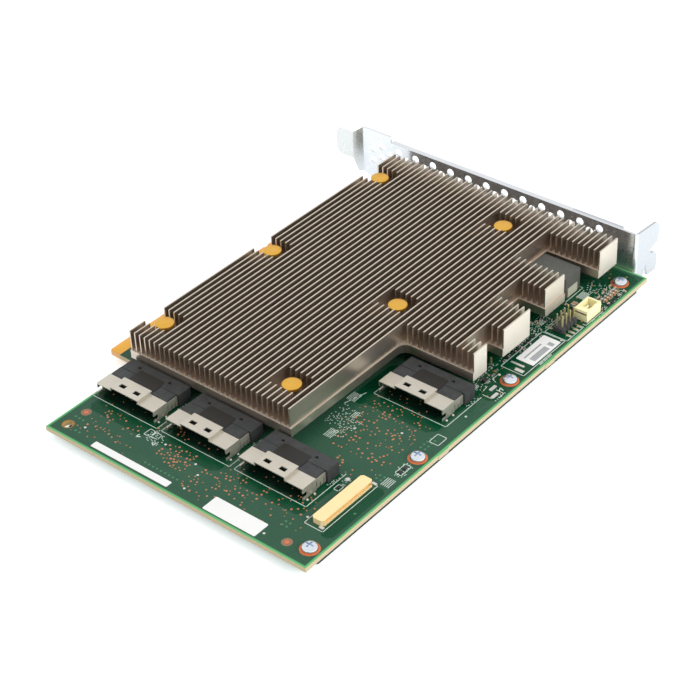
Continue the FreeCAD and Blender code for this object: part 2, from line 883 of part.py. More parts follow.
def make_inductor_terminals():
    """Flat terminals against the inductor's two short sides."""
    x0 = inductor_start + terminal_inset
    x1 = x0 + terminal_length
    y0 = inductor_near
    y1 = y0 + inductor_width
    return Part.makeCompound([
        box(x0, x1, y0 - terminal_thick, y0, 0, terminal_height),
        box(x0, x1, y1, y1 + terminal_thick, 0, terminal_height),
    ])


def block_at(x, y, side, z0, z1):
    """Square block about a middle."""
    half = side / 2
    return box(x - half, x + half, y - half, y + half, z0, z1)


def memory_blocks(z0, z1):
    """One block over each memory chip."""
    blocks = []
    for y in memory_y:
        for index in range(memory_count):
            x = memory_start_x + index * memory_pitch
            blocks.append(box(x, x + memory_width, y - memory_length / 2, y + memory_length / 2, z0, z1))
    return Part.makeCompound(blocks)


def chip_row(row, count, pitch, length, width, height):
    """Row of soldered chip parts."""
    from_end, y = row
    parts = []
    for index in range(count):
        x = board_length - from_end + index * pitch
        parts.append(box(x, x + width, y - length / 2, y + length / 2, 0, height))
    return parts


def make_chip_capacitors():
    """Ceramic capacitors: one row beside the battery socket and a larger one behind it."""
    x = board_length - bulk_capacitor[0]
    y = bulk_capacitor[1]
    parts = chip_row(capacitor_row, capacitor_count, capacitor_pitch, capacitor_length,
                     capacitor_width, capacitor_height)
    parts.append(box(x, x + bulk_length, y, y + bulk_width, 0, bulk_height))
    return Part.makeCompound(parts)


def make_chip_resistors():
    """Chip resistors in short rows along the plain edge."""
    parts = []
    for row, count in zip(resistor_rows, resistor_counts):
        parts += chip_row(row, count, resistor_pitch, resistor_length, resistor_width, resistor_height)
    return Part.makeCompound(parts)


def make_spare_pads():
    """Bare tinned pads of a part that is not fitted."""
    pads = []
    for from_end, y, wide, deep in spare_pads:
        x = board_length - from_end
        pads.append(box(x, x + wide, y, y + deep, 0, pad_thick))
    return Part.makeCompound(pads)


def all_nodes():
    """Every piece of the card by its name."""
    nodes = {
        "circuit_board": make_circuit_board(),
        "edge_contacts": make_edge_contacts(),
        "heatsink_base": make_heatsink_base(),
        "heatsink_fins": make_heatsink_fins(),
        "heatsink_studs": make_heatsink_studs(),
        "stud_springs": make_stud_springs(),
        "backplate": make_backplate(),
        "backplate_nuts": make_backplate_nuts(),
        "edge_screws": make_edge_screws(),
        "bracket": make_bracket(),
        "bracket_rivet": make_bracket_rivet(),
        "debug_socket": make_debug_socket(),
        "debug_contacts": make_debug_contacts(),
        "pin_header": make_pin_header(),
        "header_pins": make_header_pins(),
        "battery_socket": make_battery_socket(),
        "battery_pins": make_battery_pins(),
        "inductor": make_inductor(),
        "inductor_terminals": make_inductor_terminals(),
        "controller_chip": block_at(chip_x, chip_y, chip_side, 0, chip_thick),
        "controller_lid": block_at(chip_x, chip_y, lid_side, chip_thick, lid_top),
        "controller_pad": block_at(chip_x, chip_y, lid_side, lid_top, sink_bottom),
        "memory_chips": memory_blocks(0, memory_height),
        "memory_pads": memory_blocks(memory_height, sink_bottom),
        "chip_capacitors": make_chip_capacitors(),
        "chip_resistors": make_chip_resistors(),
        "spare_pads": make_spare_pads(),
    }
    for number, (x, y) in enumerate(port_places, start=1):
        nodes["port_%d_housing" % number] = make_port_housing(x, y)
        nodes["port_%d_shell" % number] = make_port_shell(x, y)
    return nodes


def main():
    """Move the card onto its footprint's middle and write one file for each piece."""
    os.makedirs("parts", exist_ok=True)
    nodes = all_nodes()
    whole = FreeCAD.BoundBox()
    for shape in nodes.values():
        whole.add(shape.BoundBox)
    shift = Vec(-whole.Center.x, -whole.Center.y, -whole.ZMin)
    for name, shape in nodes.items():
        shape.translate(shift)
        shape.exportStep("parts/%s.step" % name)
    print("card", round(whole.XLength, 2), round(whole.YLength, 2), round(whole.ZLength, 2))
    print("shift", round(shift.x, 3), round(shift.y, 3), round(shift.z, 3))


main()
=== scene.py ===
import math

import bmesh
import bpy
from mathutils import Matrix, Vector


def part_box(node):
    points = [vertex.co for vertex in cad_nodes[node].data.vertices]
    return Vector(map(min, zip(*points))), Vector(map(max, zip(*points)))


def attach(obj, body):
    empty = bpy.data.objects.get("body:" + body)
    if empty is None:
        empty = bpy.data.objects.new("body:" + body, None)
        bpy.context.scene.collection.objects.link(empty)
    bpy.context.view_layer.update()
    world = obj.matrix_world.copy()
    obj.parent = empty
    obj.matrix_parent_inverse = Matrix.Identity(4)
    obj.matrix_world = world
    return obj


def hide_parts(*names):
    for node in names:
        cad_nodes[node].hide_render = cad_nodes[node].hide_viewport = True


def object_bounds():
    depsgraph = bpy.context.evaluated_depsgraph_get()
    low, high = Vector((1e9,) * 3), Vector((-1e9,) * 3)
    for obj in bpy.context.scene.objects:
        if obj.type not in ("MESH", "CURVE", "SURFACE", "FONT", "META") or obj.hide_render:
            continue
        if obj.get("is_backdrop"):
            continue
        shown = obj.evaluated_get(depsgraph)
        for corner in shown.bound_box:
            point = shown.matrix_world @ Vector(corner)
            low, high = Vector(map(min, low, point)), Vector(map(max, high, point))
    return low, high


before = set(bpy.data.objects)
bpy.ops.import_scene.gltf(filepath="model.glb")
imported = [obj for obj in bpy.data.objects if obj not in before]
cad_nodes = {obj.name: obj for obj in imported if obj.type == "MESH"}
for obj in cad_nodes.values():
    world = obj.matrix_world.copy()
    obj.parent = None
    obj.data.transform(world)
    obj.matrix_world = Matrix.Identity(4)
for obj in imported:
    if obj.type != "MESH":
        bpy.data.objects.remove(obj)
cad_low, cad_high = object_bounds()
scene = bpy.context.scene


# Circuit board: a green laminate with solder mask on both faces and bare glass
# cloth on its cut edges.  Copper stops short of the rim, so the rim glows greener.
mm = 0.001
X, Y, Z = range(3)
board_long, board_wide, tongue_end = 167.65, 99.0, 111.15
board_low, board_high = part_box("circuit_board")
board_corner = Vector((board_low.x, board_high.y - tongue_end * mm, board_high.z))


def at(x, y, z):
    """Place on the card, in millimetres from the top of the board's near free corner."""
    return board_corner + Vector((x, y, z)) * mm


def shade(red, green, blue):
    """Linear colour of a screen colour from 0 to 255, by the standard screen curve."""
    parts = []
    for value in (red, green, blue):
        part = value / 255
        parts.append(part / 12.92 if part <= 0.04045 else ((part + 0.055) / 1.055) ** 2.4)
    return (*parts, 1.0)


def feed(tree, node, inputs):
    """Sets or links a node's sockets, given by name or number."""
    for label, value in inputs.items():
        if hasattr(value, "is_linked"):
            tree.links.new(value, node.inputs[label])
        else:
            node.inputs[label].default_value = value


def new_node(tree, kind, inputs=None, **settings):
    """Node with its settings made and its sockets fed."""
    node = tree.nodes.new(kind)
    for name, value in settings.items():
        setattr(node, name, value)
    feed(tree, node, inputs or {})
    return node


def new_tree(kind, name, inputs, outputs):
    """Empty node tree with named sockets: the tree, what it is given, and its last node."""
    tree = bpy.data.node_groups.new(name, kind)
    for in_out, sockets in (("INPUT", inputs), ("OUTPUT", outputs)):
        for label, carries in sockets:
            tree.interface.new_socket(name=label, in_out=in_out, socket_type="NodeSocket" + carries)
    return tree, tree.nodes.new("NodeGroupInput").outputs, tree.nodes.new("NodeGroupOutput")


def math_node(tree, operation, *values):
    """Result of one sum on sockets or numbers."""
    return new_node(tree, "ShaderNodeMath", dict(enumerate(values)), operation=operation).outputs[0]


def times(tree, first, second):
    """Product of two sockets or numbers, which also keeps a mask inside another."""
    return math_node(tree, "MULTIPLY", first, second)


def any_of(tree, masks):
    """Mask of all places that one of the masks covers."""
    highest = masks[0]
    for mask in masks[1:]:
        highest = math_node(tree, "MAXIMUM", highest, mask)
    return highest


mix_factor, mix_first, mix_second, mix_result = 0, 6, 7, 2


def colour_mix(tree, factor, first, second):
    """Colour between two sockets or colours."""
    sockets = {mix_factor: factor, mix_first: first, mix_second: second}
    return new_node(tree, "ShaderNodeMix", sockets, data_type="RGBA").outputs[mix_result]


finish_group, given, result = new_tree(
    "ShaderNodeTree", "Surface finish",
    (("Colour", "Color"), ("Patch colour", "Color"), ("Patch scale", "Float"), ("Grain scale", "Vector"),
     ("Smoothest", "Float"), ("Roughest", "Float")),
    (("Colour", "Color"), ("Roughness", "Float"), ("Height", "Float")))
place = new_node(finish_group, "ShaderNodeTexCoord").outputs["Object"]
patches = new_node(finish_group, "ShaderNodeTexNoise",
                   {"Vector": place, "Scale": given["Patch scale"], "Detail": 3.0}).outputs["Fac"]
grain_place = new_node(finish_group, "ShaderNodeVectorMath", {0: place, 1: given["Grain scale"]},
                       operation="MULTIPLY").outputs[0]
grain = new_node(finish_group, "ShaderNodeTexNoise",
                 {"Vector": grain_place, "Scale": 1.0, "Detail": 2.0}).outputs["Fac"]
spread = times(finish_group, math_node(finish_group, "ADD", patches, grain), 0.5)
gloss = new_node(finish_group, "ShaderNodeMapRange",
                 {"Value": spread, "From Min": 0.3, "From Max": 0.7,
                  "To Min": given["Smoothest"], "To Max": given["Roughest"]})
feed(finish_group, result, {
    "Colour": colour_mix(finish_group, spread, given["Colour"], given["Patch colour"]),
    "Roughness": gloss.outputs["Result"], "Height": grain})

grain_depth = 0.02


def finish(name, colour, patch, scale=90.0, grain=2500.0, rough=(0.3, 0.5), metallic=0.0, bump=0.1,
           specular=0.5):
    """Material of one finish: mottled colour, uneven gloss and a fine grain."""
    material = bpy.data.materials.new(name)
    material.use_nodes = True
    tree = material.node_tree
    group = new_node(tree, "ShaderNodeGroup", {
        "Colour": shade(*colour), "Patch colour": shade(*patch), "Patch scale": scale,
        "Grain scale": grain if isinstance(grain, tuple) else (grain, grain, grain),
        "Smoothest": rough[0], "Roughest": rough[1]}, node_tree=finish_group)
    relief = new_node(tree, "ShaderNodeBump", {
        "Strength": bump, "Distance": grain_depth * mm, "Height": group.outputs["Height"]})
    feed(tree, tree.nodes["Principled BSDF"], {
        "Base Color": group.outputs["Colour"], "Roughness": group.outputs["Roughness"],
        "Normal": relief.outputs["Normal"], "Metallic": metallic, "Specular IOR Level": specular})
    return material


def opened(material):
    """Tree, shader and first colour of a finish that gets more tones."""
    surface = material.node_tree.nodes["Principled BSDF"]
    return material.node_tree, surface, surface.inputs["Base Color"].links[0].from_socket


def dress(node, material):
    """Gives a CAD node its finish."""
    cad_nodes[node].data.materials.clear()
    cad_nodes[node].data.materials.append(material)


patch_group, given, result = new_tree(
    "ShaderNodeTree", "Rectangle on the board",
    (("Low", "Vector"), ("High", "Vector"), ("Cut corner", "Float"), ("Softness", "Float")),
    (("Mask", "Float"),))
place = new_node(patch_group, "ShaderNodeTexCoord").outputs["Object"]
inside = []
for first, second in ((place, given["Low"]), (given["High"], place)):
    gap = new_node(patch_group, "ShaderNodeVectorMath", {0: first, 1: second}, operation="SUBTRACT")
    inside.append(new_node(patch_group, "ShaderNodeSeparateXYZ", {0: gap.outputs[0]}).outputs)
nearest_x = math_node(patch_group, "MINIMUM", inside[0][X], inside[1][X])
nearest_y = math_node(patch_group, "MINIMUM", inside[0][Y], inside[1][Y])
corner = math_node(patch_group, "SUBTRACT", math_node(patch_group, "ADD", nearest_x, nearest_y),
                   given["Cut corner"])
nearest = math_node(patch_group, "MINIMUM", math_node(patch_group, "MINIMUM", nearest_x, nearest_y), corner)
soft = new_node(patch_group, "ShaderNodeMapRange",
                {"Value": nearest, "From Min": 0.0, "From Max": given["Softness"]})
feed(patch_group, result, {"Mask": soft.outputs["Result"]})


def patch_mask(tree, low, high, corner=0.0, softness=0.1):
    """Mask of a rectangle on the card with cut corners, in millimetres."""
    sockets = {"Low": at(*low, 0), "High": at(*high, 0), "Cut corner": corner * mm, "Softness": softness * mm}
    return new_node(tree, "ShaderNodeGroup", sockets, node_tree=patch_group).outputs["Mask"]


def height_mask(tree, low, high):
    """Mask of a slice of the card between two heights, in millimetres."""
    spot = new_node(tree, "ShaderNodeTexCoord").outputs["Object"]
    height = new_node(tree, "ShaderNodeSeparateXYZ", {0: spot}).outputs[Z]
    return times(tree, math_node(tree, "GREATER_THAN", height, at(0, 0, low).z),
                 math_node(tree, "LESS_THAN", height, at(0, 0, high).z))


def normal_part(tree, axis):
    """Share of the surface normal along one axis."""
    normal = new_node(tree, "ShaderNodeNewGeometry").outputs["Normal"]
    return new_node(tree, "ShaderNodeSeparateXYZ", {0: normal}).outputs[axis]


def etched_lines(tree, direction, spacing, cover):
    """Faint parallel lines of one direction, kept where a slow noise is high."""
    place = new_node(tree, "ShaderNodeTexCoord").outputs["Object"]
    bands_in_a_turn, line_level, route_level = 20, 0.9, 0.56
    lines = new_node(tree, "ShaderNodeTexWave", {
        "Vector": place, "Scale": 2 * math.pi / (bands_in_a_turn * spacing * mm)},
        wave_type="BANDS", bands_direction=direction)
    routed = new_node(tree, "ShaderNodeTexNoise", {"Vector": place, "Scale": cover})
    return times(tree, math_node(tree, "GREATER_THAN", lines.outputs["Fac"], line_level),
                 math_node(tree, "GREATER_THAN", routed.outputs["Fac"], route_level))


mask_green = finish("mask_green", (50, 88, 68), (40, 78, 58), scale=45, grain=1500.0, rough=(0.2, 0.34),
                    bump=0.04, specular=0.16)
tree, surface, pour_colour = opened(mask_green)
line_runs = (("X", 0.9, 60), ("Y", 1.1, 72), ("DIAGONAL", 0.75, 84))
line_strength = 0.3
fine_lines = times(tree, any_of(tree, [etched_lines(tree, *run) for run in line_runs]), line_strength)

# Bare laminate between copper areas, under each socket and along the parts strip.
# A row has the low corner, the high corner and how far the corners are cut.
bare_windows = (
    ((13.3, 71.9), (35, 96), 2), ((13.8, 44.9), (35, 69.5), 2), ((14.4, 14.0), (35, 38.5), 2),
    ((63.6, 6.6), (88, 33), 2.5), ((62.5, 31), (84, 37), 1.5), ((86, 1.2), (166, 36), 2),
    ((12, 1.6), (37, 6.2), 1.5))
window_edge = 0.35
bare = any_of(tree, [patch_mask(tree, *window, window_edge) for window in bare_windows])
face_colour = colour_mix(tree, bare, colour_mix(tree, fine_lines, pour_colour, shade(66, 108, 84)),
                         colour_mix(tree, fine_lines, shade(6, 66, 40), shade(46, 96, 70)))

# Painted shade: the mask under each socket's shell is painted almost black, where the shell shades it.
port_places = ((70.5, 19.8), (20.0, 29.5), (20.0, 57.8), (20.0, 86.1))
dark_before, dark_behind, dark_half, dark_corner, dark_fade, dark_share = 1.9, 6.0, 11.6, 0.3, 2.2, 0.92
painted_shade_under_shells = any_of(tree, [
    patch_mask(tree, (x - dark_before, y - dark_half), (x + dark_behind, y + dark_half), dark_corner,
               dark_fade)
    for x, y in port_places])
face_colour = colour_mix(tree, times(tree, painted_shade_under_shells, dark_share), face_colour, shade(12, 26, 20))

# The rim without copper lets light through and is bright; the tongue's tip has no mask.
rim_width, rim_corner = 0.45, 0.3
inner = patch_mask(tree, (rim_width, rim_width), (board_long - rim_width, board_wide - rim_width),
                   rim_corner, rim_width)
tongue_green = patch_mask(tree, (36.6, 97.9), (123.9, 112.0))
rim = times(tree, math_node(tree, "SUBTRACT", 1.0, inner), math_node(tree, "SUBTRACT", 1.0, tongue_green))
face_colour = colour_mix(tree, rim, face_colour, shade(96, 176, 112))
tongue_gold = patch_mask(tree, (34.0, 106.4), (126.0, 114.0))
face_colour = colour_mix(tree, tongue_gold, face_colour, shade(248, 180, 94))

# The cut edges show the plies of glass cloth.
faces_level = 0.7
cut_edge = math_node(tree, "LESS_THAN", math_node(tree, "ABSOLUTE", normal_part(tree, Z)), faces_level)
place = new_node(tree, "ShaderNodeTexCoord").outputs["Object"]
plies = new_node(tree, "ShaderNodeTexWave", {"Vector": place, "Scale": 1100, "Distortion": 1.0},
                 bands_direction="Z")
edge_colour = colour_mix(tree, plies.outputs["Fac"], shade(184, 167, 132), shade(202, 186, 152))
edge_colour = colour_mix(tree, tongue_gold, edge_colour, shade(238, 184, 132))
feed(tree, surface, {"Base Color": colour_mix(tree, cut_edge, face_colour, edge_colour)})
dress("circuit_board", mask_green)


# Copper left open in the solder mask: a ring under each screw, one round the tooling
# hole, two sighting dots, and many small vias, thickest round the sockets.
bare_copper = finish("bare_copper", (228, 128, 80), (206, 104, 60), scale=300, rough=(0.35, 0.55),
                     metallic=0.35)
open_copper = finish("open_copper", (222, 146, 108), (190, 116, 84), scale=900, rough=(0.35, 0.55),
                     metallic=0.2)
covered_copper = finish("covered_copper", (78, 128, 96), (62, 112, 82), scale=500, rough=(0.3, 0.45),
                        specular=0.25)
dull_laminate = finish("dull_laminate", (150, 118, 96), (132, 104, 84), scale=500, rough=(0.4, 0.6),
                       specular=0.25)
hole_brown = finish("hole_brown", (176, 128, 62), (140, 96, 40), scale=500, rough=(0.35, 0.5), metallic=0.4)
hole_tan = finish("hole_tan", (200, 170, 114), (184, 152, 98), scale=500, rough=(0.4, 0.55))
solder_tin = finish("solder_tin", (226, 226, 220), (206, 208, 204), scale=700, rough=(0.3, 0.5),
                    metallic=0.5)


def placed(name, data):
    """Object of a mesh, a lamp or the camera, linked to the scene at its origin."""
    body = bpy.data.objects.new(name, data)
    scene.collection.objects.link(body)
    return body


def mount(piece):
    """Makes a piece ride on the card."""
    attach(piece, "root")
    return piece


def made(name, shape, material, smooth=None):
    """Object of a bmesh in one material, rounded in shading below an angle in degrees."""
    mesh = bpy.data.meshes.new(name)
    shape.to_mesh(mesh)
    shape.free()
    mesh.materials.append(material)
    if smooth is not None:
        mesh.polygons.foreach_set("use_smooth", [True] * len(mesh.polygons))
        mesh.set_sharp_from_angle(angle=math.radians(smooth))
    return placed(name, mesh)


def keep(name, shape, material, smooth=None):
    """Turns a bmesh into a piece of the card."""
    return mount(made(name, shape, material, smooth))


def turned(shape, x, y, profile, sides, capped=True):
    """Lathes pairs of radius and height about an upright line: capped, or closed as a ring."""
    rings = []
    for radius, z in profile:
        ring = []
        for step in range(sides):
            turn = 2 * math.pi * step / sides
            ring.append(shape.verts.new(at(x + radius * math.cos(turn), y + radius * math.sin(turn), z)))
        rings.append(ring)
    for low, high in zip(rings, rings[1:] if capped else rings[1:] + rings[:1]):
        for step in range(sides):
            after = (step + 1) % sides
            shape.faces.new((low[step], low[after], high[after], high[step]))
    if capped:
        shape.faces.new(rings[0][::-1])
        shape.faces.new(rings[-1])


def round_pieces(name, places, profile, material, sides, smooth=None, capped=True):
    """Keeps one lathed profile at each place."""
    shape = bmesh.new()
    for x, y in places:
        turned(shape, x, y, profile, sides, capped)
    return keep(name, shape, material, smooth)


screw_places = ((6.5, 3.95), (53.3, 3.95), (97.8, 3.95), (160.2, 5.4))
tooling_hole = ((4.6, 94.4),)
sighting_places = ((11.7, 94.2), (4.8, 10.5))
# A flat ring has its sides, its inner and outer radius, and its lowest and highest point.
flat_rings = (("screw_rings", screw_places, bare_copper, 48, 1.8, 2.92, 0.005, 0.035),
              ("tooling_hole_plating", tooling_hole, hole_brown, 40, 1.56, 1.92, 0.005, 0.04),
              ("tooling_hole_wall", tooling_hole, hole_tan, 40, 1.57, 1.6, -1.56, 0.0),
              ("sighting_windows", sighting_places, dull_laminate, 32, 0.7, 1.6, 0.002, 0.012))
for name, places, material, sides, inside, outside, low, high in flat_rings:
    profile = ((inside, low), (outside, low), (outside, high), (inside, high))
    round_pieces(name, places, profile, material, sides, capped=False)
sighting_profile = ((0.68, 0.002), (0.68, 0.035), (0.6, 0.045))
round_pieces("sighting_dots", sighting_places, sighting_profile, bare_copper, sides=24)

# Tinned test points, and small copper squares left under the mask to even out the plating.
test_places = ((6.5, 89.3), (14.9, 65.1), (13.7, 52.2), (10.6, 48.5), (4.2, 47.6), (3.7, 17.7), (53.1, 26.5),
               (59.4, 14.3), (15.8, 12.6), (76.4, 4.2), (123.6, 3.0))
test_profile = ((0.4, 0.002), (0.4, 0.03), (0.28, 0.07))
round_pieces("test_points", test_places, test_profile, solder_tin, sides=14)
dot_step = 1.55
dot_grids = ((5.7, 51.8, 1, 9), (8.5, 92.2, 1, 3), (3.9, 89.0, 1, 2), (39.6, 6.2, 2, 2), (57.6, 4.6, 4, 2),
             (9.4, 14.6, 2, 2), (24.5, 3.2, 1, 1), (106.5, 100.2, 3, 2), (140.0, 92.0, 2, 3))
dot_places = [(x + column * dot_step, y + row * dot_step)
              for x, y, columns, rows in dot_grids for column in range(columns) for row in range(rows)]
dot_profile = ((0.4, 0.001), (0.4, 0.012), (0.34, 0.016))
round_pieces("covered_dots", dot_places, dot_profile, covered_copper, sides=10)


def as_mesh(body):
    """Plain mesh of an object with its modifiers run."""
    return bpy.data.meshes.new_from_object(body.evaluated_get(bpy.context.evaluated_depsgraph_get()))


def grown(name, tree, mesh, values):
    """Runs a geometry tree on a mesh and keeps the result as a plain piece."""
    carrier = placed(name + "_seed", mesh)
    modifier = carrier.modifiers.new("grow", "NODES")
    modifier.node_group = tree
    for item in tree.interface.items_tree:
        if item.item_type == "SOCKET" and item.in_out == "INPUT" and item.name in values:
            modifier[item.identifier] = values[item.name]
    bpy.context.view_layer.update()
    plain = as_mesh(carrier)
    plain.name = name
    bpy.data.objects.remove(carrier)
    return mount(placed(name, plain))


def new_geometry(name, *inputs):
    """Empty geometry tree with named inputs."""
    flow = ("Geometry", "Geometry")
    return new_tree("GeometryNodeTree", name, (flow, *inputs), (flow,))


def finish_geometry(tree, instances, material, result):
    """Ends a geometry tree: instances made real, in one material."""
    real = new_node(tree, "GeometryNodeRealizeInstances", {"Geometry": instances})
    paint = new_node(tree, "GeometryNodeSetMaterial", {
        "Geometry": real.outputs["Geometry"], "Material": material})
    feed(tree, result, {"Geometry": paint.outputs["Geometry"]})


strewing = (("Least distance", "Float"), ("Density", "Float"), ("Seed", "Int"))
random_least, random_most, random_result = 2, 3, 1


def strewn_points(tree, given):
    """Points strewn over the faces that come in, never nearer than the least distance."""
    scatter = new_node(tree, "GeometryNodeDistributePointsOnFaces", {
        "Mesh": given["Geometry"], "Distance Min": given["Least distance"],
        "Density Max": given["Density"], "Seed": given["Seed"]}, distribute_method="POISSON")
    return scatter.outputs["Points"]


via_tree, given, result = new_geometry(
    "Scattered vias", *strewing, ("Dot radius", "Float"), ("Dot height", "Float"), ("Material", "Material"))
dot = new_node(via_tree, "GeometryNodeMeshCylinder", {
    "Vertices": 8, "Radius": given["Dot radius"], "Depth": given["Dot height"]})
size = new_node(via_tree, "FunctionNodeRandomValue", {random_least: 0.55, random_most: 1.3})
put = new_node(via_tree, "GeometryNodeInstanceOnPoints", {
    "Points": strewn_points(via_tree, given), "Instance": dot.outputs["Mesh"],
    "Scale": size.outputs[random_result]})
finish_geometry(via_tree, put.outputs["Instances"], given["Material"], result)


def zones(name, rectangles, z):
    """Flat mesh of rectangles on the board."""
    mesh = bpy.data.meshes.new(name)
    points = []
    faces = []
    for x0, y0, x1, y1 in rectangles:
        faces.append(tuple(range(len(points), len(points) + 4)))
        points += [at(x0, y0, z), at(x1, y0, z), at(x1, y1, z), at(x0, y1, z)]
    mesh.from_pydata(points, [], faces)
    return mesh


cluster_vias = ((8.3, 53, 16.8, 61.5), (10, 61.5, 16, 65))
thick_vias = ((7.5, 75, 17, 90), (8, 44, 15, 52), (9, 28, 19, 44), (3, 40, 8, 50), (14, 13, 24, 25),
              (36, 14, 41, 24), (44, 9, 66, 30), (62, 12, 70, 31), (19, 62, 25, 72), (104, 100, 110, 106))
thin_vias = ((3, 72, 12, 92), (4, 28, 14, 44), (20, 16, 26, 96), (40, 8, 62, 16), (70, 10, 76, 30),
             (46, 24, 64, 32), (86, 2, 124, 11), (132, 1, 165, 14), (17, 74, 19, 96), (6, 11, 15, 26))
via_lift, via_thick, hole_share, hole_rise = 0.016, 0.04, 0.4, 1.3
# A row has the name, the rectangles, the least distance, the number in a square
# millimetre, the radius and the seed.
via_fields = (("vias_cluster", cluster_vias, 0.85, 1.1, 0.31, 3),
              ("vias_near_sockets", thick_vias, 0.95, 0.3, 0.29, 4),
              ("vias_spread", thin_vias, 1.4, 0.12, 0.24, 9))
for name, rectangles, apart, density, radius, seed in via_fields:
    field = zones(name + "_zone", rectangles, via_lift)
    strewn = {"Least distance": apart * mm, "Density": density / mm ** 2, "Seed": seed}
    grown(name, via_tree, field, {
        "Dot radius": radius * mm, "Dot height": via_thick * mm, "Material": open_copper, **strewn})
    # Painted shade: a browner disc at each via's centre stands in for its hole.
    grown(name + "_holes", via_tree, field, {
        "Dot radius": radius * mm * hole_share, "Dot height": via_thick * mm * hole_rise,
        "Material": hole_brown, **strewn})


# White ink on the board: outlines round the sockets, the header and the grey-barred
# label, with short ticks beside the small parts.  Printed flat by screen.
white_ink = finish("white_ink", (222, 230, 222), (186, 202, 190), scale=500, rough=(0.5, 0.7))
ink_low, ink_high = 0.003, 0.04
line_width, heavy_width, arrow_width, bar_width = 0.22, 0.45, 0.34, 0.2


def prism(shape, outline, z0, z1):
    """Adds a closed upright prism over an outline."""
    low = [shape.verts.new(at(x, y, z0)) for x, y in outline]
    high = [shape.verts.new(at(x, y, z1)) for x, y in outline]
    shape.faces.new(high)
    shape.faces.new(low[::-1])
    for index in range(len(outline)):
        after = (index + 1) % len(outline)
        shape.faces.new((low[index], low[after], high[after], high[index]))


def ink_line(shape, x0, y0, x1, y1, width=line_width):
    """Adds one straight line of ink between two points on the board."""
    along = Vector((x1 - x0, y1 - y0, 0)).normalized() * (width / 2)
    side = Vector((-along.y, along.x, 0))
    ends = ((x0, y0, -1, -1), (x1, y1, 1, -1), (x1, y1, 1, 1), (x0, y0, -1, 1))
    prism(shape, [(x + along.x * a + side.x * b, y + along.y * a + side.y * b) for x, y, a, b in ends],
          ink_low, ink_high)


# Outlines of the sockets from each one's place, frames by two corners, and ticks by
# their two ends.
port_outline = ((-1.4, -13.9, -1.4, 12.6), (-1.4, -13.9, 15.8, -13.9), (-1.4, 12.6, 4.4, 12.6))
ink_frames = ((13.5, 5.4, 37.2, 11.9), (102.2, 1.9, 124.0, 10.2), (124.4, 1.4, 133.4, 9.6),
              (61.0, 2.6, 65.2, 5.8), (44.4, 2.9, 49.2, 5.1), (28.9, 12.7, 31.3, 14.4))
ink_ticks = ((141.5, 13.3, 151.1, 13.3), (151.1, 13.3, 151.1, 14.3), (134.6, 1.3, 143.8, 1.3),
             (134.6, 1.3, 134.6, 2.4), (17.5, 73.5, 14.7, 73.5), (17.5, 73.5, 17.2, 68.6),
             (17.2, 68.6, 16.0, 68.7), (15.1, 68.8, 14.6, 73.4), (89.3, 7.3, 91.5, 7.6),
             (95.4, 8.4, 97.5, 8.4), (95.4, 8.4, 94.8, 6.9), (91.8, 1.8, 89.3, 1.6), (91.8, 1.8, 91.9, 4.4),
             (87.6, 3.2, 87.6, 6.4), (60.3, 36.3, 67.9, 34.3), (48.0, 3.2, 48.0, 4.8), (46.2, 3.2, 46.2, 4.8),
             (134.4, 4.6, 134.4, 9.2), (126.0, 10.4, 133.6, 10.4))
shape = bmesh.new()
for x, y in port_places:
    for x0, y0, x1, y1 in port_outline:
        ink_line(shape, x + x0, y + y0, x + x1, y + y1)
for x0, y0, x1, y1 in ink_frames:
    for side in ((x0, y0, x1, y0), (x1, y0, x1, y1), (x1, y1, x0, y1), (x0, y1, x0, y0)):
        ink_line(shape, *side)
for tick in ink_ticks:
    ink_line(shape, *tick)
ink_line(shape, 15.8, 71.2, 18.3, 70.9, heavy_width)
arrow_length, arrow_spread = 1.3, 24
for x, y, turn in ((12.3, 74.5, 150), (12.4, 67.7, 210), (18.2, 71.0, 0), (93.4, 4.1, 45)):
    for side in (-1, 1):
        lean = math.radians(turn + side * arrow_spread)
        tail_x, tail_y = x - arrow_length * math.cos(lean), y - arrow_length * math.sin(lean)
        ink_line(shape, x, y, tail_x, tail_y, arrow_width)

# Hatched marks of parallel bars, each in three dashes, with every second bar shifted.
# A row has the bars' two ends in x, the first bar's y, how many there are, and their step.
hatches = ((62.4, 66.4, 34.5, 6, 0.55), (45.4, 49.4, 29.4, 5, 0.6), (38.2, 41.9, 2.7, 5, 0.62),
           (145.6, 149.6, 9.6, 7, 0.42), (126.5, 129.0, 12.3, 4, 0.45), (56.4, 59.4, 29.7, 3, 0.6),
           (109.6, 116.2, 1.15, 2, 0.4), (88.0, 90.4, 9.6, 4, 0.45))
dashes, dash_share, dash_shift = 3, 0.27, 0.02
for x0, x1, y0, bars, step in hatches:
    for bar in range(bars):
        for dash in range(dashes):
            start_x = x0 + (x1 - x0) * (dash / dashes + dash_shift * (bar % 2))
            bar_y = y0 + bar * step
            ink_line(shape, start_x, bar_y, start_x + (x1 - x0) * dash_share, bar_y, bar_width)
keep("board_ink", shape, white_ink)


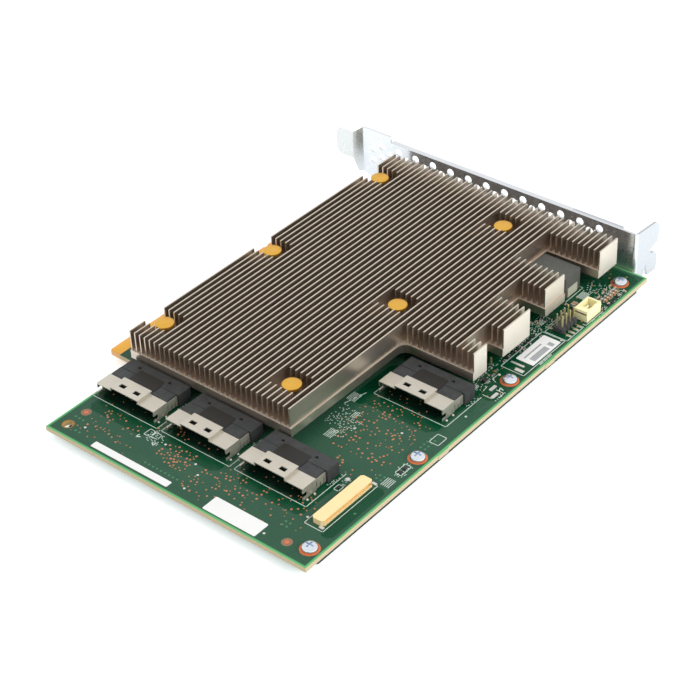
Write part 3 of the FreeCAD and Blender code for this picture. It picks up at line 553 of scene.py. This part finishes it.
def box_tree(name, strewn):
    """Geometry tree that centres rows of boxes on points, or strews them over faces in quarter turns."""
    tree, given, result = new_geometry(
        name, ("Size", "Vector"), ("Count", "Int"), ("Apart", "Float"), ("Material", "Material"),
        *(strewing if strewn else ()))
    cube = new_node(tree, "GeometryNodeMeshCube", {"Size": given["Size"]})
    step = new_node(tree, "ShaderNodeCombineXYZ", {X: given["Apart"]}).outputs[0]
    back = new_node(tree, "ShaderNodeVectorMath", {0: step, "Scale": -0.5}, operation="SCALE").outputs[0]
    row = new_node(tree, "GeometryNodeMeshLine", {
        "Count": given["Count"], "Start Location": back, "Offset": step})
    boxes = new_node(tree, "GeometryNodeInstanceOnPoints", {
        "Points": row.outputs["Mesh"], "Instance": cube.outputs["Mesh"]})
    if strewn:
        chance = new_node(tree, "FunctionNodeRandomValue", {"Seed": given["Seed"]}).outputs[random_result]
        turn = times(tree, math_node(tree, "GREATER_THAN", chance, 0.5), math.pi / 2)
        spots = strewn_points(tree, given)
    else:
        stored = new_node(tree, "GeometryNodeInputNamedAttribute", {"Name": "turn"}, data_type="FLOAT")
        turn = stored.outputs["Attribute"]
        spots = given["Geometry"]
    about = new_node(tree, "ShaderNodeCombineXYZ", {Z: turn}).outputs[0]
    put = new_node(tree, "GeometryNodeInstanceOnPoints", {
        "Points": spots, "Instance": boxes.outputs["Instances"], "Rotation": about})
    finish_geometry(tree, put.outputs["Instances"], given["Material"], result)
    return tree


strewn_boxes = box_tree("Boxes strewn over patches", True)


def sizes_of(size, count=1, apart=0.0):
    """Values of a box tree for rows of boxes, from millimetres."""
    return {"Size": tuple(value * mm for value in size), "Count": count, "Apart": apart * mm}


ink_patches = [(x + 8.8, y - 13.6, x + 15.4, y - 12.6) for x, y in port_places]
ink_patches += [
    (56.5, 31.5, 60.5, 36), (50.5, 31, 56, 36.2), (47, 26, 56, 31), (54, 28.8, 60, 30.6),
    (43.4, 2.2, 49.8, 5.8), (31.5, 12.6, 35, 14.6), (13, 66.5, 17.5, 72.5), (87.4, 1.4, 92.4, 2.6),
    (88, 8, 97, 12), (103.2, 10.6, 123.5, 12.4), (122, 10.8, 132, 15.6), (149.8, 8.0, 156.2, 12.8),
    (144.6, 1.2, 158, 7.6), (134.8, 0.5, 144, 1.1), (98, 11.5, 103, 14.5), (126.4, 3.0, 133, 3.8)]
speck_lift = 0.018
grown("ink_specks", strewn_boxes, zones("ink_patches", ink_patches, speck_lift), {
    **sizes_of((0.52, 0.19, 0.034)), "Material": white_ink,
    "Least distance": 0.55 * mm, "Density": 1.5 / mm ** 2, "Seed": 5})


# Paper labels: a long thin strip and a wider one near the free end, and one with plain
# grey bars beside the header.  Coated white paper, die-cut with rounded corners.
label_paper = finish("label_paper", (240, 240, 238), (228, 229, 228), scale=200, rough=(0.45, 0.6))
label_grey = finish("label_grey", (150, 152, 156), (176, 178, 180), scale=400, rough=(0.5, 0.6))
label_thick, bar_top = 0.11, 0.115


def block(shape, x0, x1, y0, y1, z0, z1):
    """Adds a closed box between two corners."""
    prism(shape, ((x0, y0), (x1, y0), (x1, y1), (x0, y1)), z0, z1)


def rounded(shape, x0, x1, y0, y1, z0, z1, radius, steps=5):
    """Adds a slab with rounded upright corners."""
    outline = []
    for cx, cy, start_turn in ((x1 - radius, y1 - radius, 0), (x0 + radius, y1 - radius, 90),
                               (x0 + radius, y0 + radius, 180), (x1 - radius, y0 + radius, 270)):
        for step in range(steps + 1):
            turn = math.radians(start_turn + 90 * step / steps)
            outline.append((cx + radius * math.cos(turn), cy + radius * math.sin(turn)))
    prism(shape, outline, z0, z1)


shape = bmesh.new()
for x0, x1, y0, y1, radius in (
        (1.5, 3.9, 52.0, 82.0, 0.3), (1.1, 7.0, 18.9, 38.0, 0.35), (107.9, 122.7, 2.5, 8.8, 0.3)):
    rounded(shape, x0, x1, y0, y1, 0.0, label_thick, radius)
keep("labels", shape, label_paper)
shape = bmesh.new()
for x0, x1, y0, y1 in ((110.0, 118.0, 3.3, 5.4), (119.2, 120.8, 3.3, 5.4), (109.4, 118.4, 6.5, 7.1)):
    block(shape, x0, x1, y0, y1, label_thick, bar_top)
keep("label_bars", shape, label_grey)


# Gold contacts of the tongue: hard gold plated over nickel on the board's own copper,
# left flat, with a faint grain along the tongue.
contact_gold = finish("contact_gold", (255, 198, 74), (242, 178, 56), scale=250, grain=(300, 3000, 3000),
                      rough=(0.3, 0.42), metallic=0.5, bump=0.04)
dress("edge_contacts", contact_gold)


# Heatsink: one bar of aluminium with straight fins, warm grey all over.  The outer faces towards the
# plain edge and the tops were cut and are satin, the tops pale; those outer faces get a painted highlight.
sink_metallic = 0.93
sink_metal = finish("sink_metal", (210, 196, 182), (198, 184, 169), scale=60, grain=(60, 1100, 1100),
                    rough=(0.26, 0.34), metallic=1.0, bump=0.02)
tree, surface, body_colour = opened(sink_metal)
body_rough = surface.inputs["Roughness"].links[0].from_socket
cut_top = math_node(tree, "GREATER_THAN", normal_part(tree, Z), faces_level)
open_side = math_node(tree, "GREATER_THAN", times(tree, normal_part(tree, Y), -1.0), faces_level)
# Near faces of the blocks by the plain edge, of the trimmed block, and half as much of
# the long side over the sockets, which take the painted highlight.
near_faces = any_of(tree, [patch_mask(tree, (86, 8.0), (165, 11.2)), patch_mask(tree, (126, 11), (138, 11.8)),
                           times(tree, patch_mask(tree, (30, 33), (90, 36.2)), 0.5)])
satin_and_lit_faces = any_of(tree, [cut_top, times(tree, open_side, near_faces)])
# Painted shade: the floor between the fins is painted browner and less metallic than the ledge round them,
# for the shade between the fins.
floor_level = times(tree, cut_top, height_mask(tree, 6.0, 7.0))
under_fins = any_of(tree, [patch_mask(tree, (36.0, 35.9), (163.6, 98.4)),
                           patch_mask(tree, (87.5, 9.6), (163.6, 36.0))])
shaded_floor = times(tree, floor_level, under_fins)
floor_shade_loss, satin_rough = 0.83, 0.6
top_colour = colour_mix(tree, shaded_floor, shade(220, 211, 196), shade(188, 168, 151))
# Painted highlight: faces turned to the key light take a paler colour than the tops.
satin_and_lit_colour = colour_mix(tree, open_side, top_colour, shade(236, 229, 217))
feed(tree, surface, {
    "Base Color": colour_mix(tree, satin_and_lit_faces, body_colour, satin_and_lit_colour),
    "Metallic": math_node(tree, "SUBTRACT", sink_metallic, times(tree, shaded_floor, floor_shade_loss)),
    "Roughness": any_of(tree, [body_rough, times(tree, satin_and_lit_faces, satin_rough)])})
dress("heatsink_base", sink_metal)
dress("heatsink_fins", sink_metal)


# Chips under the heatsink, in moulded black or on a green carrier with a metal lid, each
# with a soft grey pad up to the base.
chip_laminate = finish("chip_laminate", (42, 84, 62), (36, 74, 54), scale=300, rough=(0.3, 0.45))
lid_metal = finish("lid_metal", (150, 150, 150), (136, 136, 138), scale=200, grain=(200, 3000, 3000),
                   rough=(0.3, 0.45), metallic=1.0)
soft_pad = finish("soft_pad", (150, 156, 166), (138, 144, 154), scale=400, rough=(0.7, 0.85), bump=0.3)
chip_black = finish("chip_black", (38, 38, 40), (50, 50, 52), scale=500, rough=(0.5, 0.65), bump=0.25)
dress("controller_chip", chip_laminate)
dress("controller_lid", lid_metal)
dress("controller_pad", soft_pad)
dress("memory_chips", chip_black)
dress("memory_pads", soft_pad)


# Sprung studs: turned brass with broad flat heads, and a coil spring under each head
# that presses the heatsink down.
stud_brass = finish("stud_brass", (238, 188, 88), (218, 164, 62), scale=300, grain=1500.0, rough=(0.3, 0.4),
                    metallic=0.9, bump=0.04)
spring_steel = finish("spring_steel", (150, 148, 146), (120, 118, 116), scale=500, rough=(0.25, 0.4),
                      metallic=1.0)
stud_places = tuple((x, y) for x in (46.5, 95.6, 150.35) for y in (94.41, 43.91))
stud_profile = ((1.2, -4.1), (1.2, -1.57), (1.6, -1.57), (1.6, 11.1), (2.9, 11.1), (3.05, 11.25),
                (3.05, 12.05), (3.0, 12.2), (2.85, 12.32), (2.6, 12.4), (0.4, 12.4))
sharp_angle = 35
studs = round_pieces("studs", stud_places, stud_profile, stud_brass, sides=40,
                     smooth=sharp_angle)
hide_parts("heatsink_studs")

coil_tree, given, result = new_geometry(
    "Coil on each point",
    ("Turns", "Float"), ("Coil radius", "Float"), ("Wire radius", "Float"), ("Height", "Float"))
coil = new_node(coil_tree, "GeometryNodeCurveSpiral", {
    "Resolution": 18, "Rotations": given["Turns"], "Start Radius": given["Coil radius"],
    "End Radius": given["Coil radius"], "Height": given["Height"]})
wire = new_node(coil_tree, "GeometryNodeCurvePrimitiveCircle", {
    "Resolution": 8, "Radius": given["Wire radius"]})
tube = new_node(coil_tree, "GeometryNodeCurveToMesh", {
    "Curve": coil.outputs["Curve"], "Profile Curve": wire.outputs["Curve"], "Fill Caps": True})
put = new_node(coil_tree, "GeometryNodeInstanceOnPoints", {
    "Points": given["Geometry"], "Instance": tube.outputs["Mesh"]})
finish_geometry(coil_tree, put.outputs["Instances"], spring_steel, result)


def points(name, places):
    """Mesh of loose points on the card."""
    mesh = bpy.data.meshes.new(name)
    mesh.from_pydata([at(*place) for place in places], [], [])
    return mesh


coil_start = 6.97
springs = grown(
    "spring_coils", coil_tree, points("coil_points", [(x, y, coil_start) for x, y in stud_places]),
    {"Turns": 4.5, "Coil radius": 2.2 * mm, "Wire radius": 0.26 * mm, "Height": 3.87 * mm})
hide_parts("stud_springs")


# Backplate and its pressed nuts: a matt black steel sheet under the whole board, with
# zinc-plated nuts pressed in where screws and studs end.
plate_black = finish("plate_black", (30, 30, 30), (42, 42, 42), scale=200, rough=(0.5, 0.65), bump=0.25,
                     specular=0.3)
nut_zinc = finish("nut_zinc", (190, 192, 190), (170, 172, 172), scale=400, rough=(0.3, 0.45), metallic=1.0)
dress("backplate", plate_black)
dress("backplate_nuts", nut_zinc)


# Pan-headed screws along the plain edge: steel in bright zinc, with a crowned head and
# a pressed cross recess, whose walls carry a painted bluish reflection.
screw_zinc = finish("screw_zinc", (236, 240, 244), (206, 216, 228), scale=500, grain=900.0,
                    rough=(0.16, 0.3), metallic=1.0)
# Painted reflection: the recess walls take a bluer tint than the head.
recess_blue_reflection = finish("recess_blue_reflection", (214, 224, 238), (196, 210, 230), scale=500, grain=900.0, rough=(0.3, 0.5),
                   metallic=0.9)
head_radius, crown_start, crown_height, crown_swell = 2.3, 0.6, 1.1, 0.7
screw_profile = [(1.45, -4.1), (1.45, 0.0), (2.2, 0.0), (head_radius, 0.15)]
for degrees in range(0, 85, 12):
    turn = math.radians(degrees)
    screw_profile.append((head_radius * math.cos(turn) ** crown_swell,
                          crown_start + crown_height * math.sin(turn)))
slot_long, slot_narrow, recess_floor, recess_top = 2.5, 0.55, 1.15, 2.6
shape = bmesh.new()
recess = bmesh.new()
for x, y in screw_places:
    turned(shape, x, y, screw_profile, sides=40)
    for wide, deep in ((slot_long, slot_narrow), (slot_narrow, slot_long)):
        block(recess, x - wide / 2, x + wide / 2, y - deep / 2, y + deep / 2, recess_floor, recess_top)
screws = made("screws", shape, screw_zinc, sharp_angle)
cutter = made("screw_recess", recess, recess_blue_reflection)
cut = screws.modifiers.new("recess", "BOOLEAN")
cut.object = cutter
cut.operation = "DIFFERENCE"
cut.solver = "EXACT"
cut.use_self = True
cut.material_mode = "TRANSFER"
cut_mesh = as_mesh(screws)
screws.modifiers.clear()
screws.data = cut_mesh
bpy.data.objects.remove(cutter)
mount(screws)
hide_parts("edge_screws")


# Bracket: bright plated steel sheet, pressed and folded, with staggered round vents and
# a zinc rivet.  The tab is painted a little greyer as painted shade, and the far end paler and less metallic
# as painted light.
plated = finish("plated_sheet", (230, 233, 237), (219, 223, 228), scale=40, grain=400.0, rough=(0.24, 0.32),
                metallic=0.9, bump=0.02)
tree, surface, body_colour = opened(plated)
folded_tab = patch_mask(tree, (168.4, -20), (186, 30), 0.0, 0.8)
far_end = patch_mask(tree, (160, 117), (186, 140), 0.0, 1.0)
bright_metallic, far_light_loss = 0.9, 0.6
# Painted shade on the tab, and painted light on the far end.
shaded_tab_colour = colour_mix(tree, folded_tab, body_colour, shade(196, 200, 205))
feed(tree, surface, {
    "Base Color": colour_mix(tree, far_end, shaded_tab_colour, shade(238, 242, 242)),
    "Metallic": math_node(tree, "SUBTRACT", bright_metallic, times(tree, far_end, far_light_loss))})
dress("bracket", plated)
dress("bracket_rivet", nut_zinc)


# Cable sockets: a moulded black body soldered to the board, with a folded tin shell
# over its mouth, a dark plate and two small pits on top painted as near-black shade, and two rows of
# contacts.
socket_black = finish("socket_black", (76, 78, 79), (26, 26, 27), scale=420, rough=(0.45, 0.6), bump=0.3,
                      specular=0.35)
shell_tin = finish("shell_tin", (216, 210, 197), (201, 195, 182), scale=120, grain=(2200, 150, 2200),
                   rough=(0.34, 0.46), metallic=0.75, bump=0.02)
plate_dark = finish("plate_dark", (38, 36, 34), (46, 44, 42), scale=400, rough=(0.35, 0.5), specular=0.25)
pit_shade = finish("pit_shade", (12, 12, 12), (18, 18, 18), scale=500, rough=(0.6, 0.8), specular=0.1)
for number in range(1, 5):
    dress("port_%d_housing" % number, socket_black)
    dress("port_%d_shell" % number, shell_tin)
plate_start, plate_end, plate_half = 6.35, 12.1, 5.1
plate_low, plate_high, plate_corner = 4.21, 4.43, 0.9
# Painted shade: each pit is a near-black flat step standing in for the shade inside it.
pit_start, pit_side, pit_half, pit_low, pit_high = 12.3, 6.2, 0.66, 4.34, 4.37
pit_steps, pit_step, pit_taper = 3, 0.28, 0.22
foot_side, foot_offsets = 12.3, (1.1, 4.2)
foot_profile = ((0.4, 0.002), (0.38, 0.1), (0.26, 0.28), (0.12, 0.38))
contact_count, contact_pitch, contact_half, contact_thick = 37, 0.6, 0.13, 0.13
contact_start, contact_end, contact_levels = 7.0, 11.4, (1.0, 2.77)
plates = bmesh.new()
pits = bmesh.new()
contacts = bmesh.new()
feet = bmesh.new()
for x, y in port_places:
    rounded(plates, x + plate_start, x + plate_end, y - plate_half, y + plate_half, plate_low, plate_high,
            plate_corner)
    for side in (-1, 1):
        pit_y = y + side * pit_side
        for step in range(pit_steps):
            pit_x = x + pit_start + step * pit_step
            half = pit_half - step * pit_taper
            block(pits, pit_x, pit_x + pit_step, pit_y - half, pit_y + half, pit_low, pit_high)
        for offset in foot_offsets:
            turned(feet, x + offset, y + side * foot_side, foot_profile, sides=12)
    for index in range(contact_count):
        middle = y + (index - contact_count // 2) * contact_pitch
        for low in contact_levels:
            block(contacts, x + contact_start, x + contact_end, middle - contact_half, middle + contact_half,
                  low, low + contact_thick)
keep("port_name_plates", plates, plate_dark)
keep("port_pits", pits, pit_shade)
keep("port_contacts", contacts, contact_gold)
keep("port_feet", feet, solder_tin, smooth=40)


# Debug socket: a long tan moulding with painted shade, a deeper tan, inside its mouth, with a tin tab at
# each end and a row of contacts soldered down behind it.
socket_tan = finish("socket_tan", (252, 228, 176), (244, 212, 152), scale=250, rough=(0.4, 0.55),
                    specular=0.4)
tree, surface, body_colour = opened(socket_tan)
# Painted shade: the inside of the mouth is painted a deeper tan.
mouth_shade = times(tree, patch_mask(tree, (15.9, 6.75), (35.9, 8.4)), height_mask(tree, 0.0, 1.6))
feed(tree, surface, {"Base Color": colour_mix(tree, mouth_shade, body_colour, shade(250, 214, 140))})
dress("debug_socket", socket_tan)
dress("debug_contacts", contact_gold)
tab_ends, tab_sides, tab_top = ((14.1, 15.0), (36.8, 37.6)), (5.9, 7.4), 0.35
foot_count, foot_start, foot_pitch = 20, 16.5, 0.99
foot_half, foot_ends, foot_top = 0.12, (10.6, 11.3), 0.18
shape = bmesh.new()
for ends in tab_ends:
    block(shape, *ends, *tab_sides, 0.0, tab_top)
for index in range(foot_count):
    x = foot_start + index * foot_pitch
    block(shape, x - foot_half, x + foot_half, *foot_ends, 0.0, foot_top)
keep("debug_tabs", shape, solder_tin)


# Pin header: black block of four cells with square posts flashed with pale gold and
# tails bent flat onto the board.
post_brass = finish("post_brass", (226, 214, 168), (206, 192, 142), scale=400, grain=(1500, 1500, 200),
                    rough=(0.25, 0.4), metallic=0.85, bump=0.04)
header_black = finish("header_black", (74, 74, 76), (52, 52, 54), scale=400, rough=(0.5, 0.65), bump=0.2,
                      specular=0.35)
dress("pin_header", header_black)
dress("header_pins", post_brass)
solder_low, solder_high = 0.002, 0.16
header_columns, header_start, header_pitch = 4, 126.9, 2.0
tail_half, tail_ends = 0.4, ((1.7, 3.3), (8.7, 10.0))
shape = bmesh.new()
for column in range(header_columns):
    x = header_start + column * header_pitch
    for ends in tail_ends:
        block(shape, x - tail_half, x + tail_half, *ends, solder_low, solder_high)
keep("header_solder", shape, solder_tin)


# Battery socket: pale yellow moulding with its side slot painted dark as painted shade, and three tin pins
# that are soldered flat to the board.
socket_cream = finish("socket_cream", (252, 245, 200), (242, 232, 176), scale=250, rough=(0.4, 0.55),
                      specular=0.4)
tree, surface, body_colour = opened(socket_cream)
# Painted shade: the slot is painted dark.
slot_shade = times(tree, patch_mask(tree, (135.95, 2.1), (137.6, 7.0)), height_mask(tree, 2.3, 2.95))
feed(tree, surface, {"Base Color": colour_mix(tree, slot_shade, body_colour, shade(96, 88, 76))})
dress("battery_socket", socket_cream)
dress("battery_pins", solder_tin)


# Power inductor: a block pressed from grey iron powder between two flat tin terminals
# that are soldered down.
powder_grey = finish("powder_grey", (98, 99, 94), (78, 79, 75), scale=700, grain=3500.0, rough=(0.55, 0.75),
                     metallic=0.1, bump=0.35)
terminal_tin = finish("terminal_tin", (212, 208, 190), (192, 188, 170), scale=400, rough=(0.45, 0.6),
                      metallic=0.3)
dress("inductor", powder_grey)
dress("inductor_terminals", terminal_tin)


# Small soldered parts: ceramic blocks with tin ends, black resistors, and bare pads,
# reflowed in rows beside the heatsink.
ceramic_tan = finish("ceramic_tan", (196, 150, 110), (168, 122, 84), scale=600, rough=(0.4, 0.55))
resistor_black = finish("resistor_black", (40, 40, 44), (56, 56, 60), scale=600, rough=(0.4, 0.55),
                        specular=0.35)
dress("chip_capacitors", ceramic_tan)
dress("chip_resistors", resistor_black)
dress("spare_pads", solder_tin)

set_boxes = box_tree("Boxes on points", False)


def tin_ends(name, places, turn, size, apart):
    """Pair of tin end caps at each place, with one turn about the upright for all."""
    mesh = points(name + "_points", places)
    mesh.attributes.new("turn", "FLOAT", "POINT").data.foreach_set("value", [turn] * len(places))
    grown(name, set_boxes, mesh, {**sizes_of(size, 2, apart), "Material": solder_tin})


capacitor_count, capacitor_pitch = 5, 1.55
capacitor_start, capacitor_y, capacitor_middle = 148.85, 4.1, 0.41
capacitor_row = [(capacitor_start + step * capacitor_pitch, capacitor_y, capacitor_middle)
                 for step in range(capacitor_count)]
tin_ends("capacitor_ends", capacitor_row, math.pi / 2, size=(0.3, 0.86, 0.84), apart=0.96)
tin_ends("bulk_ends", [(141.25, 10.05, 0.46)], 0.0, size=(0.36, 1.76, 0.94), apart=1.5)

# Parts too small to tell apart, strewn as dense rows: bodies, then the tin ends on them.
part_lift, part_size, end_size, end_apart = 0.2, (0.7, 0.52, 0.4), (0.3, 0.56, 0.42), 0.76
tan_patches = ((146, 1.5, 157.5, 7.2), (133.8, 9.6, 140.5, 12.8), (124.5, 12.6, 131.5, 15.4))
dark_patches = ((103.4, 10.7, 121.5, 12.3), (121.8, 10.9, 130.5, 14.6), (94.5, 9.2, 99.5, 12.5),
                (110.0, 8.9, 121.5, 10.0))
part_kinds = (("tan", tan_patches, ceramic_tan, 21), ("dark", dark_patches, resistor_black, 22))
for kind, patches, body, seed in part_kinds:
    field = zones(kind + "_patches", patches, part_lift)
    strewn = {"Least distance": 1.35 * mm, "Density": 0.46 / mm ** 2, "Seed": seed}
    grown("small_parts_" + kind, strewn_boxes, field, {**sizes_of(part_size), "Material": body, **strewn})
    grown("small_ends_" + kind, strewn_boxes, field,
          {**sizes_of(end_size, 2, end_apart), "Material": solder_tin, **strewn})

# Chip with six leads and three small parts in white frames.  A row has x, y and z from
# and to, and the radius of the corners.
small_chips = ((92.4, 94.2, 9.0, 10.3, 0.05, 0.75, 0.12), (45.0, 46.0, 3.4, 4.6, 0.02, 0.35, 0.1),
               (47.0, 48.0, 3.4, 4.6, 0.02, 0.35, 0.1), (29.7, 30.6, 13.1, 14.0, 0.02, 0.4, 0.1))
shape = bmesh.new()
for chip in small_chips:
    rounded(shape, *chip)
keep("small_chips", shape, resistor_black)

# The chip's leads, two long tin pads and two round ones.
lead_start, lead_pitch, lead_wide, lead_half, lead_top = 92.6, 0.6, 0.25, 0.3, 0.3
lead_middle, lead_reach = 9.65, 0.95
shape = bmesh.new()
for lead in range(3):
    x = lead_start + lead * lead_pitch
    for side in (-1, 1):
        y = lead_middle + side * lead_reach
        block(shape, x, x + lead_wide, y - lead_half, y + lead_half, solder_low, lead_top)
for x0, x1, y0, y1 in ((90.4, 93.4, 5.2, 6.3), (87.8, 90.8, 2.7, 3.8)):
    rounded(shape, x0, x1, y0, y1, solder_low, solder_high, radius=0.3)
turned(shape, 98.3, 8.1, ((0.55, solder_low), (0.5, 0.15), (0.3, 0.3)), sides=12)
turned(shape, 34.4, 13.8, ((0.75, solder_low), (0.7, 0.12), (0.4, 0.2)), sides=14)
keep("tin_pads", shape, solder_tin)

# A brass test post and a brass pad.
shape = bmesh.new()
for x0, x1, y0, y1, top in ((100.8, 101.4, 12.8, 13.4, 2.6), (98.2, 99.1, 9.3, 10.2, 0.5)):
    rounded(shape, x0, x1, y0, y1, solder_low, top, radius=0.12)
keep("test_post", shape, post_brass)


# World and floor: plain pale studio, white to the eye and in what metal mirrors, a
# little dimmer as light on the card.
def seen_plainly(tree):
    """Mask of rays from the camera and of reflections."""
    path = new_node(tree, "ShaderNodeLightPath").outputs
    return math_node(tree, "MAXIMUM", path["Is Camera Ray"], path["Is Glossy Ray"])


world_light, world_seen, floor_glow, floor_reach = 0.72, 1.0, 0.42, 6
world = bpy.data.worlds.new("studio")
scene.world = world
world.use_nodes = True
tree = world.node_tree
level = new_node(tree, "ShaderNodeMapRange", {
    "Value": seen_plainly(tree), "To Min": world_light, "To Max": world_seen})
feed(tree, tree.nodes["Background"], {"Color": (1.0, 1.0, 1.0, 1.0), "Strength": level.outputs["Result"]})

floor_mesh = bpy.data.meshes.new("floor")
floor_corners = [(x * floor_reach, y * floor_reach, cad_low.z)
                 for x, y in ((-1, -1), (1, -1), (1, 1), (-1, 1))]
floor_mesh.from_pydata(floor_corners, [], [(0, 1, 2, 3)])
floor = placed("floor", floor_mesh)
floor_white = bpy.data.materials.new("floor_white")
floor_white.use_nodes = True
tree = floor_white.node_tree
feed(tree, tree.nodes["Principled BSDF"], {
    "Base Color": (0.94, 0.96, 0.965, 1), "Roughness": 0.9, "Emission Color": (0.94, 0.99, 1.0, 1),
    "Emission Strength": times(tree, seen_plainly(tree), floor_glow)})
floor_mesh.materials.append(floor_white)
floor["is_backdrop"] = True


# Lamps and camera: a large soft lamp over the plain edge, a weaker one over the free
# end, and the camera at the photo's angle.
def softbox(name, place, size, power):
    """Square area lamp aimed at the card."""
    lamp = bpy.data.lights.new(name, "AREA")
    lamp.shape = "SQUARE"
    lamp.size = size
    lamp.energy = power
    holder = placed(name, lamp)
    holder.location = place
    holder.visible_glossy = False
    holder.rotation_euler = (-Vector(place)).to_track_quat("-Z", "Y").to_euler()


softbox("key", (0.2, -0.9, 0.62), size=0.6, power=8.0)
softbox("fill", (-0.7, 0.35, 0.9), size=0.7, power=2.4)

yaw, pitch, roll = math.radians(40.7426), math.radians(36.3755), math.radians(-2.4645)
aim = Vector((math.cos(yaw) * math.cos(pitch), math.sin(yaw) * math.cos(pitch), -math.sin(pitch)))
level_right = Vector((math.sin(yaw), -math.cos(yaw), 0))
level_up = level_right.cross(aim)
right = math.cos(roll) * level_right + math.sin(roll) * level_up
up = -math.sin(roll) * level_right + math.cos(roll) * level_up
camera = bpy.data.cameras.new("camera")
camera.sensor_width = 36
camera.lens = 93.6125
camera.clip_start = 0.01
camera.clip_end = 20
viewer = placed("camera", camera)
camera_place = at(-255.764, -238.983, 327.906)
viewer.matrix_world = Matrix.Translation(camera_place) @ Matrix((right, up, -aim)).transposed().to_4x4()
scene.camera = viewer
scene.view_settings.view_transform = "Standard"

low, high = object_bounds()
